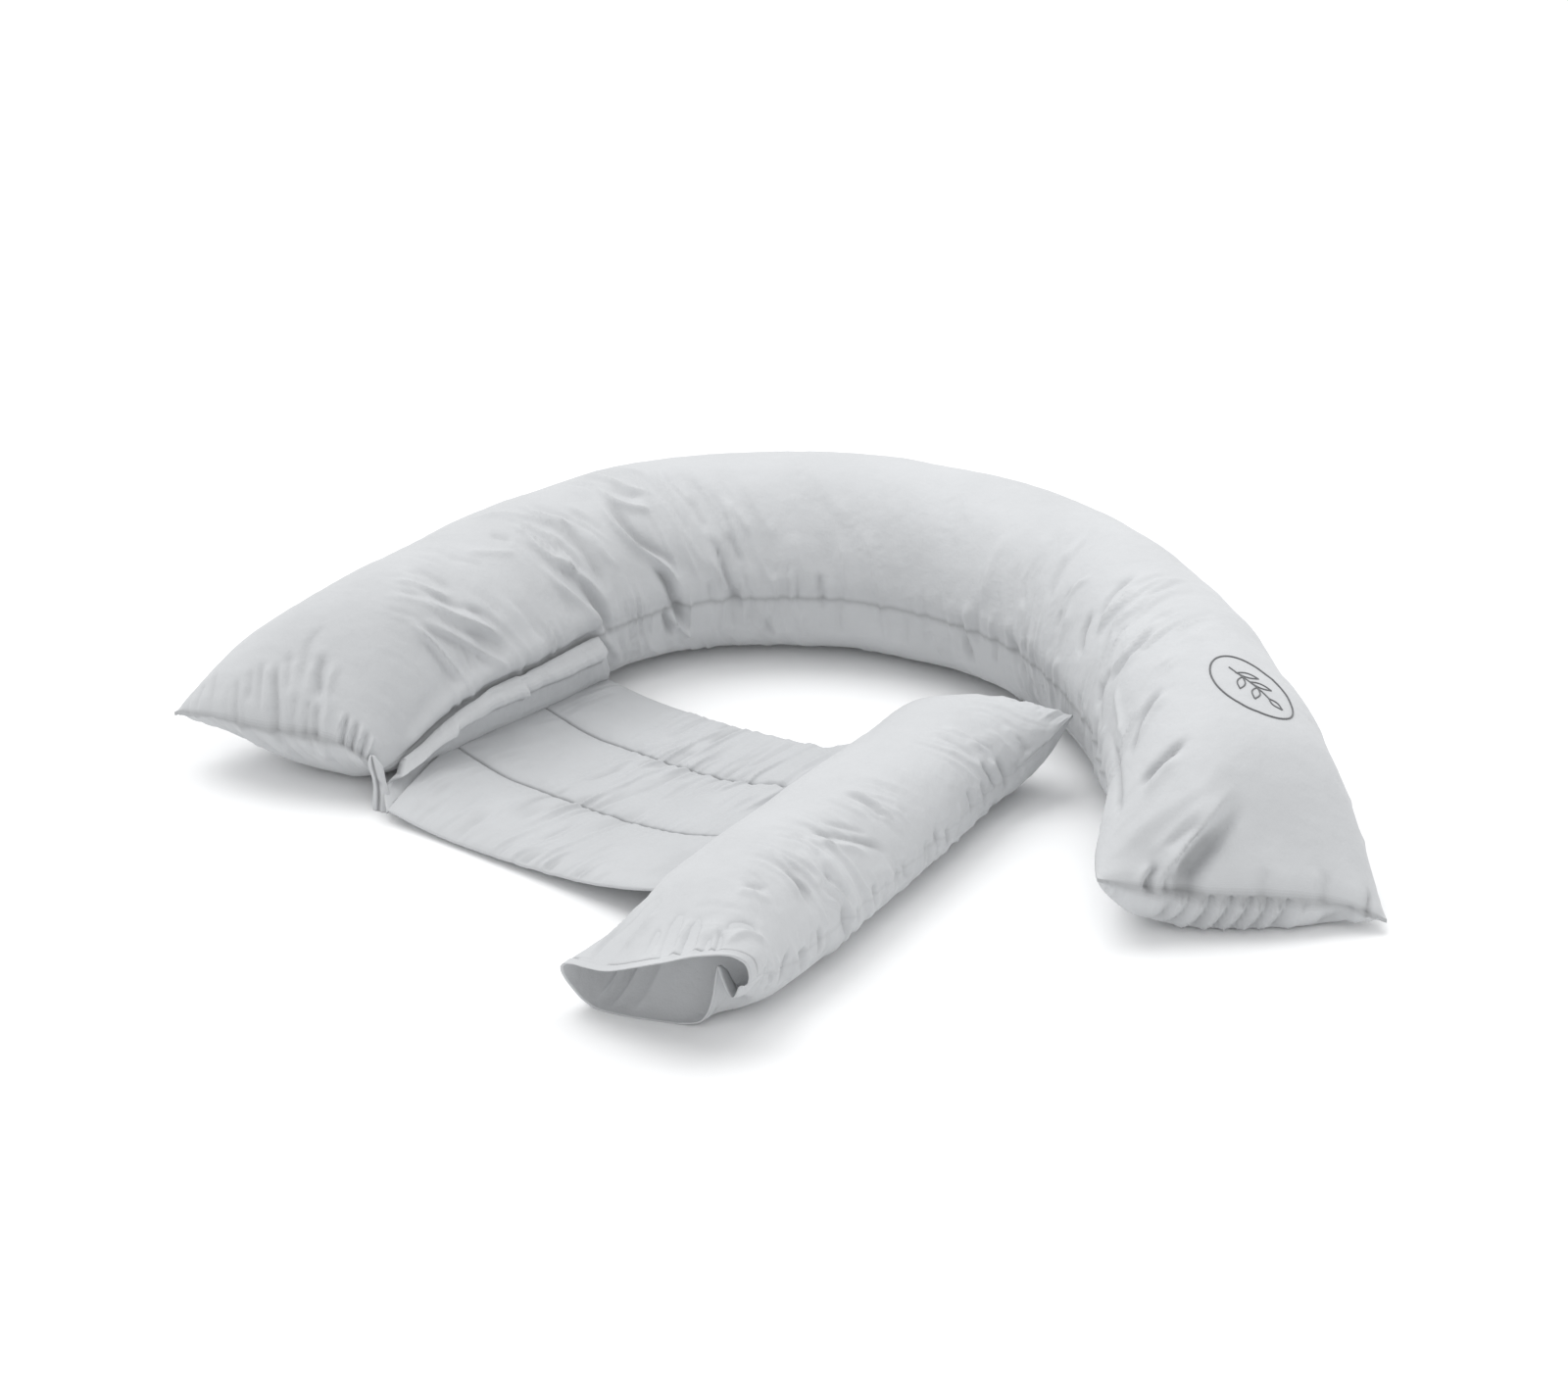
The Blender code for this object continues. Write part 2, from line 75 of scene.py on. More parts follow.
def span(at, low, high, ease, last_ease=None):
    """1 between two values and 0 outside them, with a soft step inside each."""
    return smooth_step((at - low) / ease) * smooth_step((high - at) / (last_ease or ease))


def unit(vectors):
    """The same directions, each with a length of 1."""
    return vectors / np.linalg.norm(vectors, axis=-1, keepdims=True)


def through(knots, rows, at):
    """The natural cubic curve that passes through each row at its knot, read at every value of at."""
    knots, rows = np.array(knots, float), np.array(rows, float)
    gaps, last = np.diff(knots), len(knots) - 1
    system, bend = np.eye(last + 1), np.zeros_like(rows)
    for i in range(1, last):
        system[i, i - 1:i + 2] = gaps[i - 1], 2.0 * (gaps[i - 1] + gaps[i]), gaps[i]
        bend[i] = 6.0 * ((rows[i + 1] - rows[i]) / gaps[i] - (rows[i] - rows[i - 1]) / gaps[i - 1])
    bend = np.linalg.solve(system, bend)
    at = np.asarray(at, float)
    i = np.clip(np.searchsorted(knots, at) - 1, 0, last - 1)
    gap, after = gaps[i][..., None], (at - knots[i])[..., None]
    before = gap - after
    return (
        (bend[i] * before**3 + bend[i + 1] * after**3) / (6.0 * gap)
        + (rows[i] / gap - bend[i] * gap / 6.0) * before
        + (rows[i + 1] / gap - bend[i + 1] * gap / 6.0) * after
    )


def curve_of(table, at):
    """The same curve through a table, whose first column holds the knots."""
    table = np.array(table, float)
    return through(table[:, 0], table[:, 1:], at)


def columns_at(at, knots, rows):
    """Each column of rows, read by straight lines between its knots."""
    return np.stack([np.interp(at, knots, column) for column in rows.T], axis=1)


def run_along(points):
    """How far each point of a line is from the first, along the line."""
    return np.concatenate([[0.0], np.cumsum(np.linalg.norm(np.diff(points, axis=0), axis=1))])


def along_line(line, shares):
    """Points of a smooth floor line at shares of its length, its headings there and its length."""
    line = np.array(line, float)
    fine = through(np.arange(len(line)), line, np.linspace(0.0, len(line) - 1.0, 4000))
    run = run_along(fine)
    wanted = np.asarray(shares) * run[-1]
    heading = columns_at(wanted, run, np.gradient(fine, run, axis=0))
    return columns_at(wanted, run, fine), unit(heading), run[-1]


def to_the_right(heading):
    """Level directions, a quarter turn to the right of each heading."""
    return np.stack([heading[:, 1], -heading[:, 0]], axis=1)


def soft_noise(x, y, seed):
    """Smooth noise from -1 to 1: random values on a grid of unit squares, blended by a soft S."""
    table = np.random.default_rng(seed).uniform(-1.0, 1.0, (61, 67))
    i, j = np.floor(x).astype(int), np.floor(y).astype(int)
    right, up = smooth_step(x - i), smooth_step(y - j)
    low, high = (
        table[i % 61, k % 67] * (1.0 - right) + table[(i + 1) % 61, k % 67] * right for k in (j, j + 1)
    )
    return low * (1.0 - up) + high * up


def ridges(x, y, seed, steep=2.2):
    """Sharp ridges where smooth noise crosses zero: 1 less a multiple of its size."""
    return 1.0 - steep * np.abs(soft_noise(x, y, seed))


print("a soft step at a quarter and a half:", smooth_step(np.array((0.25, 0.5))))

# %% [markdown]
# The long pillow and the bolster are the same kind of thing: a tube of cloth over filling that lies on
# the floor, with a seam down both sides. Each is a function of two parameters, how far along the pillow
# and how far round it. The tables hold the same sizes as the solids, so that the dressed pillows sit
# where the solids are. Only the long pillow's two end seams differ a little, as its gathers pull them.

# %% The sizes of the long pillow and the bolster
CROWN_POWER, UNDER_POWER, CONTACT_SHARE = 0.92, 0.75, 1.06
END_CROWN_POWER, END_UNDER_POWER, END_SEAM_HALF = 1.20, 1.00, 0.002
SECTION_RADIUS = 0.100

# An end seam's rows are share, across, beyond and height. A girth's rows are the share of the length,
# half width, crown height and seam height. The lip's rows are degrees, across, beyond and height.
LONG_LEFT_END = {
    "seam": (
        (-1.0, -0.160, 0.006, 0.062), (-0.6, -0.100, 0.002, 0.060), (0.0, -0.030, -0.016, 0.058),
        (0.6, 0.030, -0.046, 0.052), (1.0, 0.062, -0.066, 0.038),
    ),
    "crown_run": 0.25, "under_run": (0.120, 0.028), "flare_run": 0.34, "seam_run": 0.20,
}
LONG_RIGHT_END = {
    "seam": (
        (-1.0, -0.136, 0.006, 0.014), (-0.6, -0.094, 0.000, 0.030), (0.0, -0.006, 0.000, 0.045),
        (0.6, 0.080, -0.006, 0.055), (1.0, 0.150, -0.002, 0.076),
    ),
    "crown_run": 0.25, "under_run": (0.012, 0.030), "flare_run": 0.25, "seam_run": 0.12,
}
LONG_PILLOW = {
    "line": (
        # x, y from the left end seam to the right one
        (-0.503, -0.264), (-0.371, -0.094), (-0.276, 0.019), (-0.128, 0.125),
        (0.108, 0.126), (0.298, 0.008), (0.399, -0.190), (0.449, -0.511),
    ),
    "girth": (
        (0.00, 0.104, 0.204, 0.086), (0.20, 0.101, 0.203, 0.086), (0.50, 0.100, 0.203, 0.088),
        (0.80, 0.100, 0.203, 0.086), (1.00, 0.101, 0.200, 0.084),
    ),
    "ends": (LONG_LEFT_END, LONG_RIGHT_END),
}
MOUTH = {
    "lip": (
        (0.0, 0.086, -0.026, 0.070), (30.0, 0.083, -0.020, 0.095), (60.0, 0.058, 0.002, 0.104),
        (90.0, 0.022, 0.024, 0.093), (120.0, -0.014, 0.031, 0.077), (150.0, -0.052, 0.031, 0.062),
        (180.0, -0.094, 0.028, 0.050), (205.0, -0.084, 0.012, 0.012), (235.0, -0.062, 0.006, 0.000),
        (265.0, -0.030, -0.002, 0.000), (295.0, 0.006, -0.016, 0.000), (320.0, 0.044, -0.026, 0.014),
        (345.0, 0.076, -0.028, 0.046), (360.0, 0.086, -0.026, 0.070),
    ),
    "lip_run": 0.10,
}
BOLSTER_FAR_END = {
    "seam": (
        (-1.0, -0.092, 0.000, 0.040), (0.0, 0.000, 0.000, 0.060), (0.7, 0.068, 0.002, 0.076),
        (1.0, 0.100, 0.004, 0.080),
    ),
    "crown_run": 0.11, "under_run": (0.040, 0.040), "flare_run": 0.14, "seam_run": 0.09,
}
BOLSTER = {
    "line": ((-0.116, -0.670), (-0.020, -0.533), (0.076, -0.388), (0.150, -0.268), (0.207, -0.165)),
    "girth": (
        (0.00, 0.080, 0.122, 0.050), (0.30, 0.080, 0.128, 0.054), (0.60, 0.077, 0.120, 0.054),
        (1.00, 0.070, 0.107, 0.050),
    ),
    "ends": (MOUTH, BOLSTER_FAR_END),
}


def pillow_rings(pillow, shares, degrees):
    """A filled pillow lying on the floor, as an array of [station, point, xyz].

    Round a station, the angle is 0 at the right side seam, 90 on the crown and 180 at the left seam.
    Height is the crown's share of a sine of that angle, and each end flattens down to its own seam.
    """
    first_end, last_end = pillow["ends"]
    centre, heading, length = along_line(pillow["line"], shares)
    side, up = np.cos(np.radians(degrees))[None, :], np.sin(np.radians(degrees))[None, :]
    lift = np.abs(up)
    half, crown, seam = curve_of(pillow["girth"], shares).T[..., None]

    across, beyond = half * side, np.zeros_like(half * side)
    height = seam + np.zeros_like(across)
    crown_share, under_share, flat = np.ones_like(half), np.ones_like(half), np.zeros_like(half)
    for end, distance, outward in (
        (first_end, shares * length, -1.0), (last_end, (1.0 - shares) * length, 1.0),
    ):
        if "seam" not in end:
            continue
        sewn = curve_of(end["seam"], side[0]).T
        distance = distance[:, None]
        flare = 1.0 - smooth_step(distance / end["flare_run"])
        across = across + (sewn[0] - across) * flare**1.5
        beyond = beyond + outward * sewn[1] * flare**2
        height = height + (sewn[2] - height) * (1.0 - smooth_step(distance / end["seam_run"]))
        crown_share = crown_share * quarter_wave(distance / end["crown_run"]) ** 0.5
        under_run = np.interp(side, (-1.0, 1.0), end["under_run"])
        under_share = under_share * quarter_wave(distance / under_run) ** 0.6
        flat = np.maximum(flat, flare)

    crown_shape = lift ** (CROWN_POWER + (END_CROWN_POWER - CROWN_POWER) * flat)
    under_shape = CONTACT_SHARE * lift ** (UNDER_POWER + (END_UNDER_POWER - UNDER_POWER) * flat)
    seam_half = END_SEAM_HALF * smooth_step(lift / 0.03)
    over = height + np.maximum((crown - seam) * crown_shape * crown_share, seam_half)
    under = height * (1.0 - np.minimum(under_shape, 1.0) * under_share)
    z = np.where(up >= 0.0, over, np.maximum(np.minimum(under, height - seam_half), 0.0))

    if "lip" in first_end:
        lip = curve_of(first_end["lip"], np.asarray(degrees) % 360.0).T
        open_share = 1.0 - smooth_step(shares * length / first_end["lip_run"])[:, None]
        across = across + (lip[0] - across) * open_share
        beyond = beyond - lip[1] * open_share
        z = np.maximum(z + (lip[2] - z) * open_share, 0.0)

    on_floor = centre[:, None] + across[..., None] * to_the_right(heading)[:, None]
    on_floor = on_floor + beyond[..., None] * heading[:, None]
    return np.concatenate([on_floor, z[..., None]], axis=2)


def outward_normals(rings):
    """Unit normals of a grid of [station, point, xyz] whose points go round each station."""
    round_it = np.roll(rings, -1, axis=1) - np.roll(rings, 1, axis=1)
    normals = np.cross(round_it, np.gradient(rings, axis=0))
    normals /= np.maximum(np.linalg.norm(normals, axis=2, keepdims=True), 1e-12)
    away = ((rings - rings.mean(axis=1, keepdims=True)) * normals).sum(axis=2)
    return normals * np.sign(away.sum())


def half_turns(points, closer):
    """Angles round a section, closer together at both side seams, and alike above and below them."""
    t = np.linspace(0.0, 1.0, points + 1)
    upper = 180.0 * (t - closer * np.sin(2.0 * math.pi * t) / (2.0 * math.pi))
    return np.concatenate([upper, 360.0 - upper[-2:0:-1]])


LONG_LENGTH, BOLSTER_LENGTH = (along_line(pillow["line"], (0.0,))[2] for pillow in (LONG_PILLOW, BOLSTER))
print("long pillow length", round(LONG_LENGTH, 3), "and bolster length", round(BOLSTER_LENGTH, 3))

# %% [markdown]
# A fold in stretched cloth is a rounded crest with a sharper hollow on one side, along a curved line
# that fades out at both ends. A row of a fold table gives its height and width, how far it leans over,
# and the line it follows over the pillow. Measuring every point's distance to that line at once gives
# the whole pillow's folds as one array of heights.

# %% Folds, seams and crumpled cloth
FOLD_POWER, FOLD_REACH, FOLD_FADE = 1.35, 3.2, 0.30
HOLLOW_OFF, HOLLOW_WIDTH, HOLLOW_DEPTH = 1.55, 0.75, 0.9
WELT_MM, SINK_MM, SHADE_FULL_MM = 1.6, 6.5, 6.0
DRAG_FLOOR = -0.4


def wrapped(degrees):
    """Angles from -90, under the pillow on its right, to 270, under it on its left."""
    return (np.asarray(degrees, float) + 90.0) % 360.0 - 90.0


def turned_from(degrees, seam):
    """Degrees round from a seam, from -180 to 180."""
    return (np.asarray(degrees) - seam + 180.0) % 360.0 - 180.0


def around(degrees):
    """Distance round a pillow, in metres, for angles from -90 under its right to 270 under its left."""
    return np.radians(wrapped(degrees)) * SECTION_RADIUS


def fold_table(text):
    """Folds from lines of text: height and width in mm, a lean if there is one, and then the fold's line.

    Each point of the line is how many mm along the pillow and how many degrees round it.
    """
    rows = []
    for line in text.strip().splitlines():
        sizes = [float(item) for item in line.split() if "," not in item]
        points = [item.split(",") for item in line.split() if "," in item]
        rows.append((*(*sizes, 0.0)[:3], *((float(along) / 1000.0, float(turn)) for along, turn in points)))
    return rows


def fold_field(folds, x, y):
    """Heights of folds over a grid of the distances x along and y across a cloth, in metres.

    A fold's height is exp(-|d|^power) of its distance d in widths, and a power under 2 makes its crest
    crisp. A leaning crest has a hollow beside its steep side. A fold fades at both ends as soft steps.
    """
    height = np.zeros((len(x), len(y)))
    for raised, width, lean, *path in folds:
        width, path = width * MM, np.array(path, float)
        line = through(np.arange(len(path)), path, np.linspace(0.0, len(path) - 1.0, 6 * len(path) - 3))
        reach = FOLD_REACH * width
        rows, columns = (
            np.flatnonzero((at > line[:, k].min() - reach) & (at < line[:, k].max() + reach))
            for k, at in enumerate((x, y))
        )
        if not len(rows) or not len(columns):
            continue
        place = np.stack(np.broadcast_arrays(x[rows][:, None], y[columns][None, :]), axis=2)
        step = np.diff(line, axis=0)
        offset = place[:, :, None] - line[:-1]
        share = np.clip((offset * step).sum(axis=3) / (step * step).sum(axis=1), 0.0, 1.0)
        offset = offset - share[..., None] * step
        gap = np.linalg.norm(offset, axis=3)
        nearest = gap.argmin(axis=2)[..., None]
        gap = np.take_along_axis(gap, nearest, axis=2)[..., 0]
        share = (np.take_along_axis(share, nearest, axis=2) + nearest)[..., 0] / len(step)
        crossed = step[:, 0] * offset[..., 1] - step[:, 1] * offset[..., 0]
        side = np.sign(np.take_along_axis(crossed, nearest, axis=2)[..., 0])
        away = side * gap / width
        crest = np.exp(-np.abs(away / (1.0 + lean * side)) ** FOLD_POWER)
        hollow = bell(away + np.sign(lean) * HOLLOW_OFF, HOLLOW_WIDTH) if lean else 0.0
        shape = crest - HOLLOW_DEPTH * abs(lean) * hollow
        height[np.ix_(rows, columns)] += raised * MM * span(share, 0.0, 1.0, FOLD_FADE) * shape
    return height


def round_folds(folds):
    """A pillow's fold table, with its angles turned into distances round the pillow.

    A fold that crosses the underside's middle is there twice, a full turn apart, so that it carries on.
    """
    rows = []
    for raised, width, lean, *line in folds:
        for whole in (-360.0, 0.0, 360.0):
            if any(-100.0 < turn + whole < 280.0 for _, turn in line):
                path = [(s, math.radians(turn + whole) * SECTION_RADIUS) for s, turn in line]
                rows.append((raised, width, lean, *path))
    return rows


def seam_groove(degrees, seam, welt, sink):
    """A sewn seam: a thin raised welt between two soft sinks."""
    off = np.radians(turned_from(degrees, seam)) * SECTION_RADIUS / MM
    return welt * MM * bell(off, WELT_MM) - sink * MM * bell(off, SINK_MM)


def puckers(seed, seam, places, count, reach, raised, width, side=1.0):
    """Short folds that start at a side seam, at uneven places between two distances along it."""
    dice = np.random.default_rng(seed)
    rows = []
    for place in np.sort(dice.uniform(*places, count)):
        long = dice.uniform(0.5, 1.0) * reach
        lean_along = dice.uniform(-0.006, 0.006)
        rows.append((
            raised * dice.uniform(0.4, 1.0) * dice.choice((-1.0, 1.0, 1.0)),
            width * dice.uniform(0.7, 1.3), 0.0,
            (place, seam - side * 0.35 * long), (place + lean_along, seam + side * long),
        ))
    return rows


def end_gathers(seed, at, inward, turns, count, reach, raised, width):
    """Short folds that run in from an end seam, at uneven angles round it."""
    dice = np.random.default_rng(seed)
    rows = []
    for turn in np.linspace(*turns, count) + dice.uniform(-2.0, 2.0, count):
        long = dice.uniform(0.35, 1.0) * reach
        rows.append((
            raised * dice.uniform(0.35, 1.0) * dice.choice((-1.0, 1.0)),
            width * dice.uniform(0.7, 1.3), 0.0,
            (at - inward * 0.35 * long, turn - 1.0), (at + inward * long, turn + dice.uniform(2.0, 7.0)),
        ))
    return rows


def cloth_plane(distance, degrees):
    """Distances along and round a pillow for every point of its grid, in metres."""
    return np.meshgrid(distance, around(degrees), indexing="ij")


def lumps(distance, degrees, seed):
    """Lumps of filling under the cloth, from two sizes of smooth noise."""
    x, y = cloth_plane(distance, degrees)
    wide = 1.5 * soft_noise(x / 0.085, y / 0.070, seed + 1)
    return (wide + 0.8 * soft_noise(x / 0.038, y / 0.034, seed + 2)) * MM


def crumple(distance, degrees, seed):
    """The faint creases and unevenness of slack cloth: ridges where a warped noise crosses zero."""
    x, y = cloth_plane(distance, degrees)
    bend = 0.012 * soft_noise(x / 0.05, y / 0.05, seed)
    crease = np.maximum(ridges((x + bend) / 0.018, (y + bend) / 0.040, seed + 3), 0.0) ** 2
    where = 0.5 + 0.5 * soft_noise(x / 0.12, y / 0.09, seed + 5)
    return (0.5 * crease * where + 0.2 * soft_noise(x / 0.009, y / 0.012, seed + 4)) * MM


def drags(distance, degrees, rows, seed):
    """Dense fine drags in stretched cloth: a ridged noise, ten times longer along the drags than across.

    Each row is where along a pillow, the drags' slope there (metres along for each metre round), their
    height in mm and the two angles between which they show. The slope and height change smoothly.
    """
    rows = np.array(rows, float)
    slope, height, low, high = columns_at(distance, rows[:, 0], rows[:, 1:]).T[..., None]
    x, y = cloth_plane(distance, degrees)
    bend = 0.010 * soft_noise(x / 0.045, y / 0.060, seed)
    bend += 0.003 * soft_noise(x / 0.016, y / 0.030, seed + 1)
    across = x + slope * y + bend
    broad = np.maximum(ridges(across / 0.014, (y + x) / 0.11, seed + 2), DRAG_FLOOR)
    narrow = np.maximum(ridges(across / 0.0075, (y - x) / 0.07, seed + 3), DRAG_FLOOR)
    patch = smooth_step(0.5 + 1.1 * soft_noise(x / 0.050, y / 0.055, seed + 4))
    shown = span(wrapped(degrees)[None, :], low, high, 25.0, 40.0)
    return height * shown * patch * (0.8 * broad + 0.45 * narrow) * MM


def painted_crease_shade(folds, seams):
    """Painted shade from 0 to 1 that darkens the cloth's colour: up to a half in fold hollows a few mm
    deep, plus the seams' own share.
    """
    return np.clip(np.clip(-folds / (SHADE_FULL_MM * MM), 0.0, 1.0) * 0.5 + seams, 0.0, 1.0)


def raised_cloth(rings, height, normals_of=None):
    """Every point moved outward by its height, and kept off the floor."""
    normals = outward_normals(rings if normals_of is None else normals_of)
    rings = rings + normals * height[..., None]
    rings[..., 2] = np.maximum(rings[..., 2], FLOOR_REST)
    return rings


print("height of a 2 mm seam welt:", seam_groove(0.0, 0.0, 2.0, 0.0), "m")

# %% [markdown]
# A grid of points becomes a mesh by joining neighbours into squares. The tube closes round its own
# section, and each flattened end is shut by a narrow strip from its upper edge to its lower one. A UV
# map holds real distances along and round the cloth, so that the weave has one size everywhere.

# %% From a grid to a mesh
def into_scene(name, data):
    """A new object in the scene, at the origin, that shows a mesh, a light or a camera."""
    thing = bpy.data.objects.new(name, data)
    bpy.context.scene.collection.objects.link(thing)
    return thing


def cloth_mesh(name, rings, distance, turn, gap=None):
    """A closed mesh through a grid of [station, point, xyz], with a UV map of distances in metres.

    Its "gap" attribute holds painted shade for each point, in creases and seams, and the cloth's colour is
    darkened by it.
    """
    stations, points = rings.shape[:2]
    i, j = np.meshgrid(np.arange(stations - 1), np.arange(points), indexing="ij")
    k = (j + 1) % points
    quads = np.stack([i * points + j, i * points + k, (i + 1) * points + k, (i + 1) * points + j], axis=-1)
    quads = quads.reshape(-1, 4)
    u = np.stack([distance[i], distance[i], distance[i + 1], distance[i + 1]], axis=-1).reshape(-1)
    v = np.stack([turn[j], turn[j + 1], turn[j + 1], turn[j]], axis=-1).reshape(-1)
    faces, uv = quads.tolist(), [np.stack([u, v], axis=1)]
    places = (rings - LAYOUT_MIDDLE).reshape(-1, 3)
    for base, at in ((0, 0), ((stations - 1) * points, -1)):
        for m in range(points // 2):
            strip = list(dict.fromkeys([m, m + 1, points - m - 1, (points - m) % points]))
            faces.append([base + p for p in (strip if at else strip[::-1])])
            uv.append(np.stack([np.full(len(strip), distance[at]), turn[strip]], axis=1))
    mesh = bpy.data.meshes.new(name)
    mesh.from_pydata(places.tolist(), [], faces)
    uv = np.concatenate(uv).astype(np.float32).reshape(-1)
    mesh.uv_layers.new(name="cloth").uv.foreach_set("vector", uv)
    corners = (places - places.mean(axis=0))[quads]
    if (np.cross(corners[:, 1] - corners[:, 0], corners[:, 2] - corners[:, 0]) * corners[:, 0]).sum() < 0.0:
        mesh.flip_normals()
    mesh.shade_smooth()
    shade = np.zeros((stations, points)) if gap is None else gap
    shade = shade.astype(np.float32).reshape(-1)
    # the gap attribute carries the painted shade of creases and seams
    mesh.attributes.new("gap", "FLOAT", "POINT").data.foreach_set("value", shade)
    print(name, "has", len(faces), "faces")
    return into_scene(name, mesh)


def dress(piece, cloth, slot=None, *nodes):
    """The piece gets its cloth, rides on the pillow's one body and stands for its plain solids."""
    piece.data.materials.append(cloth)
    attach(piece, "root")
    if nodes:
        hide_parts(*nodes)


def turn_lengths(degrees):
    """Distance round the section for each angle, with the closing point at the end."""
    return np.radians(np.concatenate([degrees, [360.0]])) * SECTION_RADIUS


print("cloth round one section:", round(float(turn_lengths(np.zeros(1))[-1]), 3), "m")

# %% [markdown]
# A sewn case is a little larger than its filling, so it is never smooth: the spare cloth buckles into
# small folds. That is what a cloth simulation is good at. The grid is made a mesh, given a little spare
# length where the real case is slack, held at its sewn seams, and blown up from inside by pressure. Only
# the folds are kept from the result: the slow change of shape is taken out, and no point moves far.

# %% Spare cloth that finds its own folds
SIM_FRAMES, SIM_QUALITY, SIM_CAP = 16, 5, 0.008
SIM_MASS, SIM_BENDING, SIM_PRESSURE = 0.3, 0.05, 1.5


def softened(field, rows, columns):
    """A grid of values blurred by a bell along it and round it."""
    for size, axis, mode in ((rows, 0, "edge"), (columns, 1, "wrap")):
        steps = np.arange(-3 * size, 3 * size + 1)
        weights = np.exp(-0.5 * (steps / size) ** 2)
        edge = [(0, 0)] * field.ndim
        edge[axis] = (3 * size, 3 * size)
        wide = np.pad(field, edge, mode=mode)
        windows = np.lib.stride_tricks.sliding_window_view(wide, len(weights), axis=axis)
        field = windows @ (weights / weights.sum())
    return field


def doubled(grid):
    """Twice the stations and twice the points: each new one is the cubic middle of its neighbours."""
    wide = np.concatenate([2.0 * grid[:1] - grid[1:2], grid, 2.0 * grid[-1:] - grid[-2:-1]])
    rows = np.empty((2 * len(grid) - 1, *grid.shape[1:]))
    rows[::2], rows[1::2] = grid, (9.0 * (wide[1:-2] + wide[2:-1]) - wide[:-3] - wide[3:]) / 16.0
    both = np.empty((len(rows), 2 * rows.shape[1], *rows.shape[2:]))
    beside = 9.0 * (rows + np.roll(rows, -1, axis=1)) - np.roll(rows, 1, axis=1) - np.roll(rows, -2, axis=1)
    both[:, ::2], both[:, 1::2] = rows, beside / 16.0
    return both


def settled_folds(name, rings, slack, held, soft):
    """How far each point of a pillow's grid moves when its spare cloth settles, without the slow drift.

    slack is the share of spare length at each point, and held is true where the cloth is sewn fast.
    The cloth is simulated on every second station and point, and doubled back to the full grid.
    """
    grid, slack, held = rings[::2, ::2], slack[::2, ::2], held[::2, ::2]
    case = cloth_mesh(name, grid, np.arange(len(grid)), np.arange(grid.shape[1] + 1))
    most = float(slack.max())
    spare, sewn = case.vertex_groups.new(name="spare"), case.vertex_groups.new(name="sewn")
    levels = np.round(slack.reshape(-1) / most, 2)
    for amount in np.unique(levels):
        spare.add(np.flatnonzero(levels == amount).tolist(), float(amount), "REPLACE")
    sewn.add(np.flatnonzero(held.reshape(-1)).tolist(), 1.0, "REPLACE")
    cloth = case.modifiers.new("case", "CLOTH")
    settings = cloth.settings
    settings.quality, settings.mass, settings.bending_stiffness = SIM_QUALITY, SIM_MASS, SIM_BENDING
    settings.use_pressure, settings.uniform_pressure_force = True, SIM_PRESSURE
    settings.vertex_group_shrink, settings.shrink_min, settings.shrink_max = "spare", 0.0, -most
    settings.vertex_group_mass, settings.effector_weights.gravity = "sewn", 0.0
    cloth.collision_settings.use_collision = False
    cloth.point_cache.frame_start, cloth.point_cache.frame_end = 1, SIM_FRAMES + 1
    for frame_number in range(1, SIM_FRAMES + 1):
        bpy.context.scene.frame_set(frame_number)
    places = np.empty(grid.size, np.float32)
    case.evaluated_get(bpy.context.evaluated_depsgraph_get()).data.vertices.foreach_get("co", places)
    moved = places.reshape(grid.shape).astype(float) + LAYOUT_MIDDLE - grid
    bpy.data.objects.remove(case)
    bpy.context.scene.frame_set(1)
    moved = softened(moved, 1, 1) - softened(moved, *soft)
    length = np.linalg.norm(moved, axis=2, keepdims=True)
    print(name, "folds settle by up to", round(float(length.max()) / MM, 1), "mm")
    return doubled(moved * np.minimum(1.0, SIM_CAP / np.maximum(length, 1e-9)))


print("the cloth settles for", SIM_FRAMES, "frames, and is skipped in a quick look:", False)

# %% [markdown]
# The cases are a cool pale grey cotton, matt with a soft sheen. Its weave is two crossing rows of
# threads, far smaller than a millimetre, over slubs and faint crumples. The pattern reads the UV map,
# which is in metres, so that threads run along and across each piece as they were cut. The stitches are
# a twisted thread. Both are built from nodes in the same way, so one helper adds and wires the nodes.

# %% Cotton cloth and thread
THREAD_PITCH, PAINTED_SHADE_DARKNESS = 0.00055, 0.42


def start_material(name):
    """A new node material, a function that adds a node to it, and one that fills its shader's inputs.

    Inputs are named or numbered. Another node's output is linked to one, and a plain value is set on it.
    A node that is added gives back the output that is asked for.
    """
    material = bpy.data.materials.new(name)
    material.use_nodes = True
    tree = material.node_tree

    def fill(node, inputs):
        for key, value in inputs.items():
            if isinstance(value, bpy.types.NodeSocket):
                tree.links.new(value, node.inputs[key])
            else:
                node.inputs[key].default_value = value

    def add(kind, output, inputs, **settings):
        node = tree.nodes.new("ShaderNode" + kind)
        for key, value in settings.items():
            setattr(node, key, value)
        fill(node, inputs)
        return node.outputs[output]

    return material, add, lambda inputs: fill(tree.nodes["Principled BSDF"], inputs)


def two_tones(add, factor, colour, low, high, between=(0.0, 1.0)):
    """A colour that goes from one share of itself to another as a pattern changes."""
    ramp = add("ValToRGB", "Color", {"Fac": factor})
    for element, share, position in zip(ramp.node.color_ramp.elements, (low, high), between):
        element.position, element.color = position, (*(share * np.array(colour)), 1.0)
    return ramp


